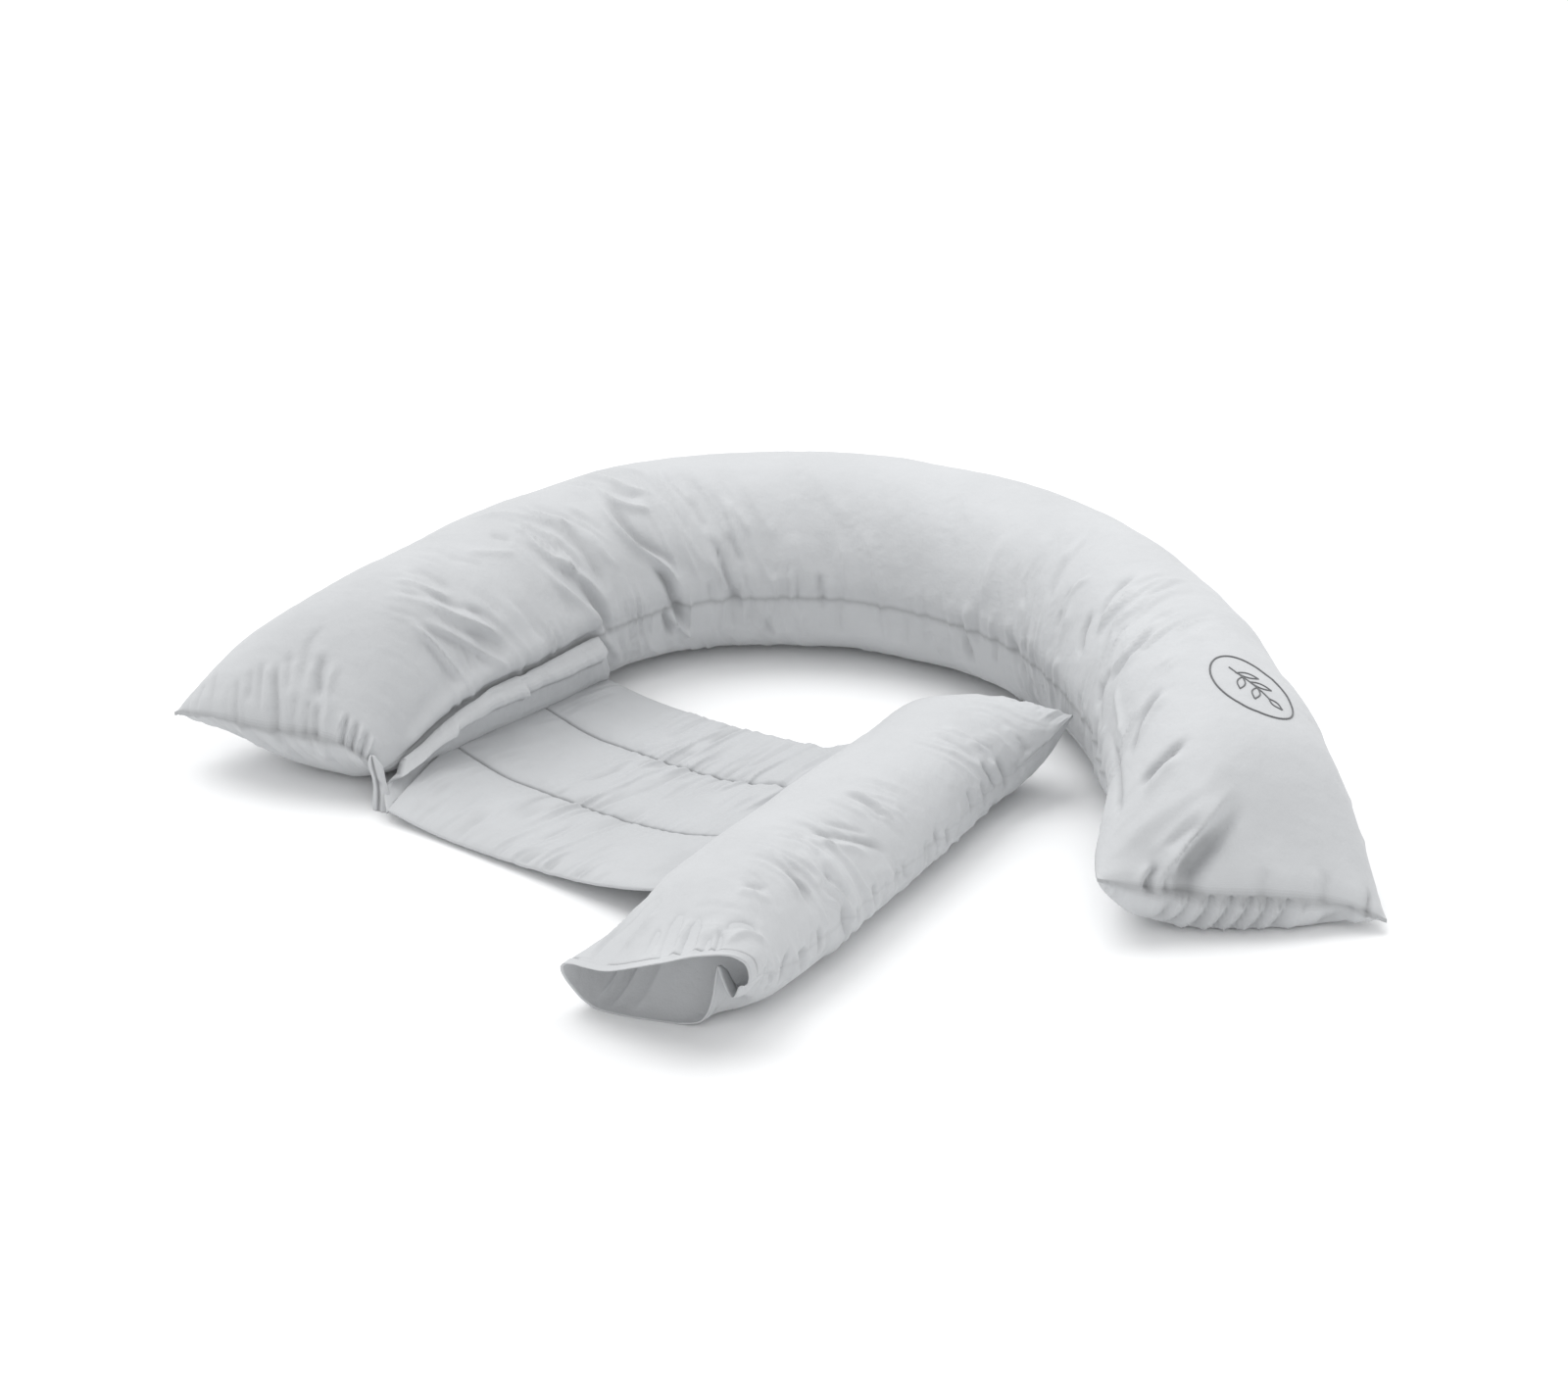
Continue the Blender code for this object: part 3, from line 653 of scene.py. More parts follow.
def cotton(name, colour, crumple_depth=0.35):
    """Woven cotton: crossing threads, slubs and faint crumples as bump, a slightly uneven dye and painted
    crease shade.
    """
    material, add, shade = start_material(name)
    place = add("TexCoord", "Object", {})
    threads = {
        "Vector": add("UVMap", "UV", {}, uv_map="cloth"),
        "Scale": 2.0 * math.pi / THREAD_PITCH / 20.0, "Distortion": 2.5, "Detail": 1.0,
    }
    warp, weft = (add("TexWave", "Fac", threads, bands_direction=axis) for axis in "XY")
    weave = add("Math", "Value", {0: warp, 1: weft}, operation="MULTIPLY")
    slub = add("TexNoise", "Fac", {"Vector": place, "Scale": 260.0, "Detail": 3.0, "Roughness": 0.6})
    faint = add("TexNoise", "Fac", {"Vector": place, "Scale": 55.0, "Detail": 4.0, "Roughness": 0.55})
    dye = add("TexNoise", "Fac", {"Vector": place, "Scale": 9.0, "Detail": 5.0, "Roughness": 0.6})
    normal = add("Bump", "Normal", {"Height": weave, "Strength": 0.12, "Distance": 0.0004})
    normal = add("Bump", "Normal", {"Height": slub, "Strength": 0.20, "Distance": 0.0012, "Normal": normal})
    normal = add(
        "Bump", "Normal", {"Height": faint, "Strength": crumple_depth, "Distance": 0.0040, "Normal": normal}
    )
    dyed = two_tones(add, dye, colour, 0.955, 1.035, (0.30, 0.70))
    woven = add("Mix", 2, {0: 0.10, 6: dyed, 7: weave}, data_type="RGBA", blend_type="MULTIPLY")
    # painted shade: the colour is darkened where the gap attribute marks creases and seams
    gap = add("Attribute", "Fac", {}, attribute_name="gap")
    open_share = add("Math", "Value", {0: gap, 1: -PAINTED_SHADE_DARKNESS, 2: 1.0}, operation="MULTIPLY_ADD")
    shaded = add("Mix", 2, {0: 1.0, 6: woven, 7: open_share}, data_type="RGBA", blend_type="MULTIPLY")
    shade({
        "Base Color": shaded, "Normal": normal, "Roughness": 0.86, "Sheen Weight": 0.18,
        "Sheen Roughness": 0.45, "Specular IOR Level": 0.25,
    })
    return material


def twisted_thread(name, colour):
    """Twisted cotton thread: fine slanting ridges as bump, matt, with slight changes of tone."""
    material, add, shade = start_material(name)
    place = add("TexCoord", "Object", {})
    twist = add(
        "TexWave", "Fac", {"Vector": place, "Scale": 900.0, "Distortion": 1.0}, bands_direction="DIAGONAL"
    )
    uneven = add("TexNoise", "Fac", {"Vector": place, "Scale": 350.0})
    shade({
        "Base Color": two_tones(add, uneven, colour, 0.85, 1.15),
        "Normal": add("Bump", "Normal", {"Height": twist, "Strength": 0.4, "Distance": 0.0002}),
        "Roughness": 0.7, "Sheen Weight": 0.25,
    })
    return material


pillow_cloth = cotton("pillow_cotton", (0.580, 0.592, 0.606))
panel_cloth = cotton("panel_cotton", (0.556, 0.568, 0.582), crumple_depth=0.25)
band_cloth = cotton("band_cotton", (0.580, 0.592, 0.606))
seam_thread = twisted_thread("seam_thread", (0.40, 0.41, 0.425))
grey_thread = twisted_thread("grey_embroidery_thread", (0.125, 0.128, 0.135))
made = (pillow_cloth, panel_cloth, band_cloth, seam_thread, grey_thread)
print("cloths and threads made:", [material.name for material in made])

# %% [markdown]
# ## The long pillow
# Bending a straight tube into a C stretches its outer side and crowds its inner side. The crowded cloth
# gathers into drags that run from the inner seam up over the crown. The two end seams pull the case
# into short gathers, and the right end has one strong fold from its corner across to the crown.

# %% Folds of the long pillow
# the left arm, where drags run from its inner seam up over the crown
LONG_FOLDS = fold_table("""
2.5 3.2 472,96 487,76 514,68
4.2 3.8 454,89 461,71 483,60 503,56
-2.2 3.5 465,86 481,71 499,67
6 4.6 449,88 440,62 449,44 469,33 496,23 510,16 530,7
-5 7 456,81 456,60 463,45 476,36 505,26 525,14
-7.5 6 469,26 494,17 507,4 519,-3 534,-14
5 4.5 494,0 523,-12 550,-24
-5.5 5 487,2 499,-8 512,-21
4.3 4.2 369,104 364,80 376,70 389,59
-1.7 6 376,97 385,78 411,62
5.7 4.6 338,86 329,71 333,54 349,43 376,24 393,10
3.8 3.6 355,67 351,56 355,46 362,37
-4.3 9 366,68 380,57 385,44 389,31 396,18
2.4 5 402,59 407,41 423,28
-5.5 6 326,47 353,37 364,26 376,13 387,2 409,-10
4.8 5 313,51 329,33 349,20 371,5 402,-11
3.5 4 159,86 168,75 179,63 190,54
-3 6.5 154,78 172,62 190,49 212,41 221,33 224,25
4.8 4.5 152,73 163,58 179,46 199,36 215,29 226,21
-2.5 5 159,55 166,45 183,35 203,28 217,19 224,12
4.8 4.6 141,56 150,46 168,34 188,23 210,13 228,5
-2.8 5 130,59 141,46 163,33 186,20 203,8
4.1 4.2 125,60 130,49 136,38 145,24 159,13
-2.5 5 123,52 130,36 139,21 150,13
-2.1 6 172,86 186,80 193,68 199,57
-1.2 4 228,82 244,71 257,62
2.8 5 304,106 331,97 347,85 360,78
2 4 246,80 275,70 306,61
-2 5 294,82 302,76 311,70
""")
# the back
LONG_FOLDS += fold_table("""
-4.2 5 573,36 588,26 596,14 613,0 633,-5
3.2 4 577,25 590,11 608,1
-2.2 5 557,63 566,49 575,36
2.2 6 599,60 621,45 637,33
-2.5 5 599,38 613,27 624,16
2.4 10 620,84 648,47 678,30
2 12 696,88 733,60 775,38
2.4 7 750,44 765,12 774,0
3.2 6 788,42 807,16 832,-2
3.6 5 815,8 825,-8 829,-26
1.6 8 690,36 708,8
-3.4 6 944,8 956,-6 970,-24
3 6 904,-8 932,-34
-3 7 1020,10 1060,-2 1100,-16
-3.6 5 650,-6 664,-30
3 6 700,-4 708,-30
2.4 9 984,66 979,36 990,14
""")
# the bend and the right arm, where finer drags fan out
LONG_FOLDS += fold_table("""
-2.6 4 1071,67 1080,54 1086,43 1098,33
2.8 3.6 1129,65 1124,51 1122,39 1127,25
-3 3.4 1118,52 1120,43 1124,34 1136,22
-4.5 4.2 1174,49 1183,38 1194,30 1214,23
5 3.8 1185,78 1203,63 1212,50 1216,39
-4.5 4.4 1163,84 1176,67 1187,55 1203,43
3.6 3.8 1212,84 1221,69 1232,56 1243,42
-3.2 3.6 1230,77 1243,62 1252,47
3.6 3.8 1263,80 1281,61 1288,45 1290,32
-3.4 3.8 1277,72 1292,55 1297,40 1299,27
3 4.2 1275,93 1290,72 1301,54 1308,38
-2.6 4 1281,85 1297,67 1305,50
-3.6 3.6 1283,38 1288,26 1296,15
-5.5 4.2 1376,62 1388,49 1404,41 1417,36 1435,30
4 4.2 1386,64 1399,53 1413,45 1431,38
-6 4.2 1458,70 1464,60 1471,52 1476,46 1486,40
4.2 5 1470,63 1478,55 1485,50 1498,44
-3.4 4 1234,11 1252,4 1270,-2
3 4.2 1312,35 1359,29 1411,29
-4.5 4.5 1350,19 1417,20 1471,26 1502,30
-2.4 4 1270,27 1297,20 1328,11
""")
# the left end, gathered into its seam, with a comb of small teeth in the front part of that seam
LONG_FOLDS += fold_table("""
-4 3.5 -10,90 7,93 22,99 42,105
-4.3 4.5 14,72 27,77 40,81 58,83
-2.3 4.5 14,82 34,88 54,93 69,94 84,91
-2.1 4 12,89 34,96 53,102
-2.8 3.5 -2,100 18,106 42,114
-2.1 3.2 4,108 20,113 33,117
-2.5 3.2 -6,112 9,117 24,122
-1.8 3.2 -4,128 16,135 31,140
-1.6 3.2 -2,140 11,142 22,144
-3.3 4 -12,69 4,71 14,74
-2.2 3.2 -8,75 7,77 15,79
-2 3.2 -8,82 7,84 17,87
-1.6 4 16,66 31,70 49,71
1.8 3.2 -2,96 20,103 40,108
1.8 3.2 4,89 22,95 42,101
1.8 3.2 10,84 29,91 47,95
2.6 4 14,78 31,83 47,86
3 4 -10,64 9,66 22,70 36,73 56,75
2.9 3 12,-69 6,-66 -6,-64
-2.2 3 12,-76 6,-74 -6,-72
-2.6 3 12,-94 6,-92 -6,-90
""")
LONG_FOLDS += [
    (3.2 * sign, 2.6, 0.0, (-0.006, turn - 0.5), (0.004, turn), (0.016, turn + 2.0))
    for turn, sign in zip((56.5, 53.3, 50.0, 46.0, 42.0, 37.0, 32.0), (1.0, -1.0) * 3 + (1.0,))
]
# the right end: one strong ridge from its front corner, a hollow beside it, and two deep tucks
LONG_FOLDS += fold_table("""
6 16 1480,92 1508,65 1518,48 1552,18
9 7.5 -0.6 1500,86 1524,72 1543,60 1566,48
4.4 5 1510,78 1527,69 1536,63 1547,57 1560,50 1572,44
3.4 5 1505,78 1518,68 1525,61 1534,54 1545,43
-2.6 4 1523,70 1531,61 1542,51
-5 11 1525,77 1536,71 1545,65 1556,60 1572,54
-6.5 3.6 1550,51 1560,45 1576,40
-5 3.4 1552,57 1560,53 1576,50
4.2 3.4 1550,48 1560,41 1576,35
1.2 4 1540,80 1556,73 1566,69
1.1 4 1542,86 1556,80 1566,76
-2.2 4 1542,64 1556,63 1566,62
-1.8 4 1552,96 1566,91
-2 4 1550,121 1568,115
1.2 4 1550,115 1568,110
-4 5 1545,152 1560,146 1572,138
-3.5 5 1570,222 1563,229 1556,239 1548,250
2.4 5 1568,214 1560,220 1552,232
""")
# slanted puckers under the right end seam, alternately raised and sunk
LONG_FOLDS += [
    (1.15 * raised, 2.6, 0.0, (1.568, turn - 3.0), (1.558, turn + 1.5), (1.542, turn + 10.0))
    for raised, turn in (
        (-2.4, -56.0), (2.4, -59.5), (-3.4, -62.5), (3.8, -67.5), (-4.2, -71.5),
        (4.0, -76.5), (-4.2, -80.0), (4.2, -84.5), (-4.4, -87.5), (4.4, -91.5),
        (-4.4, -94.5), (4.2, -98.5), (-4.0, -101.5), (2.8, -108.0),
    )
]
LONG_FOLDS += puckers(11, 0.0, (0.56, 1.42), 52, 22.0, 2.0, 3.6)
LONG_FOLDS += puckers(12, 0.0, (0.40, 1.42), 46, 26.0, 2.2, 3.8, side=-1.0)
LONG_FOLDS += puckers(13, 180.0, (0.05, 1.50), 80, 24.0, 2.0, 4.0)
LONG_FOLDS += puckers(14, 180.0, (0.05, 1.50), 60, 26.0, 1.8, 4.5, side=-1.0)
LONG_FOLDS += end_gathers(21, 0.0, 1.0, (100.0, 165.0), 8, 0.040, 1.0, 3.0)
LONG_FOLDS += end_gathers(22, 0.0, 1.0, (190.0, 350.0), 34, 0.040, 2.0, 3.4)
LONG_FOLDS += end_gathers(25, 1.563, -1.0, (205.0, 245.0), 9, 0.030, 1.6, 3.2)
LONG_FOLDS += end_gathers(26, 1.563, -1.0, (306.0, 352.0), 10, 0.030, 3.0, 2.8)
print(len(LONG_FOLDS), "folds on the long pillow")

# %% [markdown]
# The case is drawn tight over its filling, with the fullness and the seams that give it its outline. It is
# built in layers: the plain tube, the swells of the filling and a third of each fold, then the cloth's own
# small folds from the simulation, and last the crisp part of the folds, the fine drags and the seams.

# %% The long pillow
LONG_STATIONS, LONG_HALF_ROUND = 521, 140
FOLDS_BEFORE, LONG_FOLDS_AFTER, LONG_DRAGS_AFTER = 0.35, 1.15, 1.75
END_RISE, SLIT_SPAN = 0.017, (0.030, 0.374)
SEAM_TURNS, SEAM_SHADE_WIDTH, SEAM_HELD = (0.0, 180.0), 0.0015, 0.5
CORNER_OVER, CORNER_UNDER, CORNER_ALONG = 0.032, 0.055, 1.2
END_SHADE_WIDTH, END_HELD, FLOOR_EASE = 0.0010, 0.004, 0.010
LONG_SWELLS = (
    # mm outward, distance along, its reach, degrees round, its reach
    (8.0, 0.060, 0.060, 142.0, 36.0), (4.5, 0.300, 0.100, 115.0, 45.0), (2.0, 0.460, 0.080, 112.0, 45.0),
    (3.5, 0.720, 0.160, 112.0, 50.0), (3.5, 0.960, 0.110, 115.0, 50.0), (4.5, 1.260, 0.060, 140.0, 40.0),
    (10.0, 1.385, 0.055, 146.0, 34.0), (6.5, 1.488, 0.036, 82.0, 34.0), (-4.5, 1.545, 0.026, 88.0, 40.0),
)
LONG_DRAGS = (
    # distance along, slope, height in mm, lowest and highest angle
    (0.00, 0.10, 0.3, -80.0, 150.0), (0.10, 0.40, 0.4, -60.0, 120.0), (0.16, 0.45, 2.1, -30.0, 110.0),
    (0.26, 0.45, 1.9, -20.0, 110.0), (0.34, 0.42, 2.1, -30.0, 125.0), (0.56, 0.42, 1.8, -60.0, 125.0),
    (0.66, 0.45, 0.8, -80.0, 110.0), (0.95, 0.40, 0.8, -80.0, 100.0), (1.05, 0.38, 1.4, -60.0, 110.0),
    (1.20, 0.42, 1.9, -40.0, 120.0), (1.34, 0.60, 1.8, -40.0, 115.0), (1.44, 0.70, 1.1, -40.0, 105.0),
    (1.52, 0.50, 0.4, -60.0, 110.0), (1.57, 0.10, 0.4, -80.0, 140.0),
)
OUTER_DRAGS = (
    # the same, for the side that faces away from the opening
    (0.00, -0.20, 0.7, 140.0, 262.0), (0.30, -0.45, 0.8, 138.0, 262.0), (0.62, -0.30, 0.5, 150.0, 262.0),
    (0.90, 0.25, 0.5, 150.0, 262.0), (1.25, 0.45, 1.0, 138.0, 262.0), (1.57, 0.20, 0.8, 140.0, 262.0),
)


def raised_end(distance, degrees):
    """The left end's seam is drawn up in its middle by the gathers, and its cloth with it.

    The rise is 1 less a fourth power across the seam, so the corners stay. It fades along the pillow as a
    soft step, sooner under the pillow than over it.
    """
    side, up = np.cos(np.radians(degrees))[None, :], np.sin(np.radians(degrees))[None, :]
    over = 1.0 - smooth_step((distance - 0.070) / 0.150)[:, None]
    under = 1.0 - smooth_step(distance / 0.085)[:, None]
    return END_RISE * (1.0 - side**4) * (under + (over - under) * smooth_step(0.5 + up / 0.6))


def swells(distance, degrees, rows):
    """Broad soft fullness of the filling: bells of the distance along and the angle round."""
    turn = wrapped(degrees)
    return sum(
        mm * MM * bell(distance - at, reach)[:, None] * bell(turn - way, wide)[None, :]
        for mm, at, reach, way, wide in rows
    )


def under_slit(distance, degrees):
    """The cloth swells over the band's top edge: a soft overhang above the seam and a sink at it."""
    turn = wrapped(degrees)
    swell = 7.5 * bell(turn - 11.0, 6.5) - 5.0 * bell(turn - 1.0, 3.5)
    return span(distance, *SLIT_SPAN, 0.03, 0.012)[:, None] * swell[None, :] * MM


def seam_step(degrees, over, under, reach):
    """Beside a side seam the upper cloth stands proud and the lower cloth is drawn in, as two bells."""
    turn = wrapped(degrees)
    proud = over * bell(turn - 0.7 * reach, 0.5 * reach)
    return (proud - under * bell(turn + 0.7 * reach, 0.6 * reach)) * MM


def seam_painted_shade(degrees):
    """Painted shade along each side seam: 1 at the seam, as a narrow bell."""
    off = np.min([np.abs(turned_from(degrees, seam)) for seam in SEAM_TURNS], axis=0)
    return bell(np.radians(off) * SECTION_RADIUS, SEAM_SHADE_WIDTH)[None, :]


def near_ends(distance):
    """Distance from the nearer end seam."""
    return np.minimum(distance, distance[-1] - distance)


def end_seam(distance):
    """Beside an end seam the cloth swells by half a millimetre, and at the seam it is drawn in by more."""
    near = near_ends(distance) / MM
    return (0.55 * bell(near - 7.0, 4.0) - 0.7 * bell(near, 1.8)) * MM


def off_corners(near_end, degrees):
    """1 over most of the pillow and 0 at its corners, as a bell that reaches farther under than over it."""
    turn = wrapped(degrees)
    near_seam = np.radians(np.abs(90.0 - np.abs(turn - 90.0))) * SECTION_RADIUS
    reach = np.where((turn > 0.0) & (turn < 180.0), CORNER_OVER, CORNER_UNDER)
    return 1.0 - np.exp(-((near_end[:, None] / (CORNER_ALONG * reach)) ** 2) - (near_seam / reach) ** 2)


def closer_stations(count):
    """Shares of the length, closer together near both ends and wider apart along the plain back."""
    t = np.linspace(0.0, 1.0, 2001)
    density = 1.0 + 0.8 * np.exp(-t / 0.03) + 0.8 * np.exp(-(1.0 - t) / 0.03)
    density -= 0.40 * span(t, 0.42, 0.68, 0.05)
    run = np.concatenate([[0.0], np.cumsum(0.5 * (density[1:] + density[:-1]))])
    return np.interp(np.linspace(0.0, run[-1], count), run, t)


def away_from_ends(distance, reach):
    """0 at both end seams and 1 a reach away from them."""
    return span(distance, 0.0, distance[-1], reach)


def sewn_fast(turn, near_end):
    """Where a case can't move, at its side seams and along its ends."""
    return reduce(np.logical_or, (np.abs(turn - seam) < SEAM_HELD for seam in SEAM_TURNS), near_end)


shares, degrees = closer_stations(LONG_STATIONS), half_turns(LONG_HALF_ROUND, 0.20)
turn, distance = wrapped(degrees)[None, :], shares * LONG_LENGTH
rings = pillow_rings(LONG_PILLOW, shares, degrees)
rings[..., 2] += raised_end(distance, degrees)
whole = off_corners(near_ends(distance), degrees)
lifted = smooth_step(rings[..., 2] / FLOOR_EASE) * whole
folds = fold_field(round_folds(LONG_FOLDS), distance, around(degrees))
fine_drags = drags(distance, degrees, LONG_DRAGS, 45) + drags(distance, degrees, OUTER_DRAGS, 55)
raised = FOLDS_BEFORE * folds + lumps(distance, degrees, 40) + swells(distance, degrees, LONG_SWELLS)
raised += span(distance, 0.36, 1.50, 0.02)[:, None] * seam_step(degrees, 1.6, 3.5, 14.0)[None, :]
raised += under_slit(distance, degrees)
rings = raised_cloth(rings, raised * lifted)

at = distance[:, None]
crown_of_arm = (turn > 0.0) & (turn < 180.0) & (at > 1.0)
slack = reduce(np.maximum, (
    np.full(folds.shape, 0.018),
    0.070 * span(at, 0.24, 0.66, 0.08) * span(turn, -60.0, 110.0, 40.0),
    0.050 * span(at, 0.06, 0.30, 0.06) * span(turn, -20.0, 95.0, 40.0),
    0.070 * span(at, 1.02, 1.54, 0.08) * span(turn, -60.0, 105.0, 40.0),
    0.036 * span(at, 0.58, 1.10, 0.08) * span(turn, -75.0, 45.0, 30.0),
    0.055 * (1.0 - away_from_ends(distance, 0.09))[:, None] * np.where(crown_of_arm, 0.3, 1.0),
))
held = sewn_fast(turn, near_ends(distance)[:, None] < END_HELD)
settled = settled_folds("long_case", rings, slack, held, (4, 7))
rings = rings + settled * (away_from_ends(distance, 0.006)[:, None] * whole)[..., None]
fine = LONG_FOLDS_AFTER * folds + LONG_DRAGS_AFTER * fine_drags + crumple(distance, degrees, 40)
fine += seam_groove(degrees, 0.0, 1.4, 1.6)[None, :] + seam_groove(degrees, 180.0, 1.6, 2.0)[None, :]
fine += end_seam(distance)[:, None]
rings = raised_cloth(rings, fine * lifted, softened(rings, 2, 3))
# painted shade along the side and end seams and in the hollows of the folds and drags
seams = 0.6 * seam_painted_shade(degrees) + 0.5 * bell(near_ends(distance), END_SHADE_WIDTH)[:, None]
gap = painted_crease_shade(folds + fine_drags, seams)
long_pillow = cloth_mesh("long_pillow", rings, distance, turn_lengths(degrees), gap)
dress(long_pillow, pillow_cloth, "pillow_cloth", "main_pillow")
long_rings, long_degrees, long_distance = rings, degrees, distance

# %% [markdown]
# ## Stitches
# A stitch is a short thread that rises from one needle hole and goes down into the next. Each one here is
# a small capsule that lies half sunk in the cloth. One function makes a whole row as one mesh: it
# places copies of a capsule evenly along a path, turned to follow it.

# %% Stitches
def capsule(length, radius):
    """A small closed capsule along x: four rings of six points, with a point at each end."""
    along = np.array((-0.50, -0.36, 0.36, 0.50)) * length
    wide = np.array((0.55, 1.0, 1.0, 0.55))[:, None] * radius
    angle = np.arange(6) * math.pi / 3.0
    rings = [np.broadcast_to(along[:, None], (4, 6)), wide * np.cos(angle), wide * np.sin(angle)]
    tips = np.array(((-0.54 * length, 0.0, 0.0), (0.54 * length, 0.0, 0.0)))
    sides = [(j, (j + 1) % 6) for j in range(6)]
    quads = [(6 * i + 6 + j, 6 * i + 6 + k, 6 * i + k, 6 * i + j) for i in range(3) for j, k in sides]
    caps = [(j, k, 24) for j, k in sides] + [(18 + k, 18 + j, 25) for j, k in sides]
    return np.concatenate([np.stack(rings, axis=2).reshape(-1, 3), tips]), quads, caps


def stitch_row(name, paths, thread, pitch=0.004, length=0.0028, radius=0.0004, sink=0.3):
    """Stitches along paths of (points, normals), one every pitch, as one mesh."""
    shape, quads, caps = capsule(length, radius)
    places = []
    for points, normals in paths:
        run = run_along(points)
        wanted = np.arange(0.5 * pitch, run[-1], pitch)
        centre, ahead, behind = (columns_at(wanted + step, run, points) for step in (0.0, 0.0008, -0.0008))
        along = unit(ahead - behind)
        side = unit(np.cross(columns_at(wanted, run, normals), along))
        up = np.cross(along, side)
        centre = centre + up * radius * (1.0 - 2.0 * sink)
        x, y, z = (shape[None, :, k:k + 1] for k in range(3))
        places.append(centre[:, None] + (x * along[:, None] + y * side[:, None] + z * up[:, None]))
    places = np.concatenate(places)
    first = np.arange(len(places))[:, None, None] * len(shape)
    faces = [face for kind in (quads, caps) for face in (first + kind).reshape(-1, len(kind[0])).tolist()]
    mesh = bpy.data.meshes.new(name)
    mesh.from_pydata((places - LAYOUT_MIDDLE).reshape(-1, 3).tolist(), [], faces)
    mesh.shade_smooth()
    dress(into_scene(name, mesh), thread)
    print(name, "has", len(places), "stitches")


print("points in a stitch:", len(capsule(0.0028, 0.0004)[0]))

# %% [markdown]
# ## The embroidered sprig
# The right arm carries a small embroidered mark in dark grey thread. Here it is a plain oval ring round a
# sprig of five leaves. It is drawn flat in millimetres first. Then each point is found on the pillow's
# own grid, by its distance along the pillow and its angle round it, so that the thread follows the cloth.

# %% The embroidered sprig
# its middle, in metres along the pillow and degrees round it, its lean and its scale
SPRIG_PLACE, SPRIG_TURN, SPRIG_SCALE = (1.399, 106.0), math.radians(24.0), 1.38
RING_HALF = (33.0, 23.0)
LEAVES = (
    # root and tip, in mm from the ring's middle
    ((-13.0, -1.8), (-4.0, 10.0)), ((-8.0, -0.9), (2.0, -11.0)), ((-2.0, 0.6), (8.0, 11.0)),
    ((4.0, 1.8), (13.0, -8.0)), ((15.0, 2.4), (25.0, 4.5)),
)
LEAF_WIDTH = 2.6


def on_long_pillow(along, turn):
    """Places and outward normals on the long pillow, blended from the four nearest grid points."""
    upper = long_degrees <= 180.0
    i = np.clip(np.searchsorted(long_distance, along) - 1, 0, len(long_distance) - 2)
    j = np.clip(np.searchsorted(long_degrees[upper], turn) - 1, 0, upper.sum() - 2)
    a = ((along - long_distance[i]) / (long_distance[i + 1] - long_distance[i]))[:, None]
    b = ((turn - long_degrees[j]) / (long_degrees[j + 1] - long_degrees[j]))[:, None]
    blended = []
    for grid in (long_rings, outward_normals(long_rings)):
        here, beyond = (grid[k, j] * (1 - b) + grid[k, j + 1] * b for k in (i, i + 1))
        blended.append(here * (1 - a) + beyond * a)
    return blended


def flat_to_pillow(drawn):
    """A line drawn in millimetres round the sprig's middle, laid on the long pillow."""
    x, y = SPRIG_SCALE * MM * drawn.T
    cos, sin = math.cos(SPRIG_TURN), math.sin(SPRIG_TURN)
    x, y = x * cos - y * sin, x * sin + y * cos
    return on_long_pillow(SPRIG_PLACE[0] + x, SPRIG_PLACE[1] + np.degrees(y / SECTION_RADIUS))


def leaf_line(root, tip):
    """A leaf's outline: out to its tip and back, with a sine of the share as its half width."""
    root, tip = np.array(root), np.array(tip)
    t = np.linspace(0.0, 1.0, 30)[:, None]
    across = np.array((root[1] - tip[1], tip[0] - root[0])) / np.linalg.norm(tip - root)
    bulge = np.sin(math.pi * t) * LEAF_WIDTH * across
    return np.concatenate([root + t * (tip - root) + bulge, tip + t * (root - tip) - bulge])


phi = np.linspace(0.0, 2.0 * math.pi, 181)
ring = np.stack([RING_HALF[0] * np.cos(phi), RING_HALF[1] * np.sin(phi)], axis=1)
stem = np.stack([np.linspace(-20.0, 15.0, 40), 2.5 * np.sin(np.linspace(-1.2, 1.6, 40))], axis=1)
sprig = [flat_to_pillow(line) for line in (stem, *(leaf_line(*leaf) for leaf in LEAVES))]
stitch_row("embroidered_ring", [flat_to_pillow(ring)], grey_thread, 0.0026, 0.0042, 0.0010, 0.35)
stitch_row("embroidered_sprig", sprig, grey_thread, 0.0022, 0.0034, 0.0008, 0.35)

# %% [markdown]
# ## The joining band
# The band is a strip of doubled cotton. Its top is rolled over and sewn into the long pillow's side seam,
# and it hangs to the floor, where the panel is sewn to its foot. At each place along it, the pillow's side
# says how far out the cloth has to hang, which is found from all of the pillow's points at once.

# %% The joining band
BAND_FROM, BAND_TO = 2.0 / 96.0, 22.5 / 96.0
BAND_CLEARANCE, BAND_STATIONS, BAND_GIRTH = 0.0022, 220, 0.19
BAND_HOLLOW, BAND_ROLL_END, BAND_TOP_RISE, BAND_FOOT_DROP = 0.010, 0.30, 0.0035, 0.0012
BAND_FOOT = (
    # share of the band's length, x, y
    (0.000, -0.406, -0.287), (0.367, -0.334, -0.180), (0.717, -0.277, -0.071), (1.000, -0.203, -0.001),
)
BAND_TUCK = (
    # share of the band's length, how far its foot is drawn in under the pillow, its height
    (0.00, 0.000, 0.011), (0.12, 0.009, 0.013), (0.25, 0.017, 0.017), (0.50, 0.018, 0.023),
    (0.75, 0.009, 0.021), (1.00, 0.003, 0.013),
)
BAND_FACE = (
    # share of the way down, thickness in mm
    (0.00, 6.0), (0.03, 9.5), (0.08, 12.6), (0.14, 14.4), (0.20, 14.8), (0.24, 13.4), (0.27, 9.6),
    (0.30, 6.0), (0.36, 4.0), (0.50, 3.0), (0.80, 3.0), (0.93, 3.4), (1.00, 3.0),
)
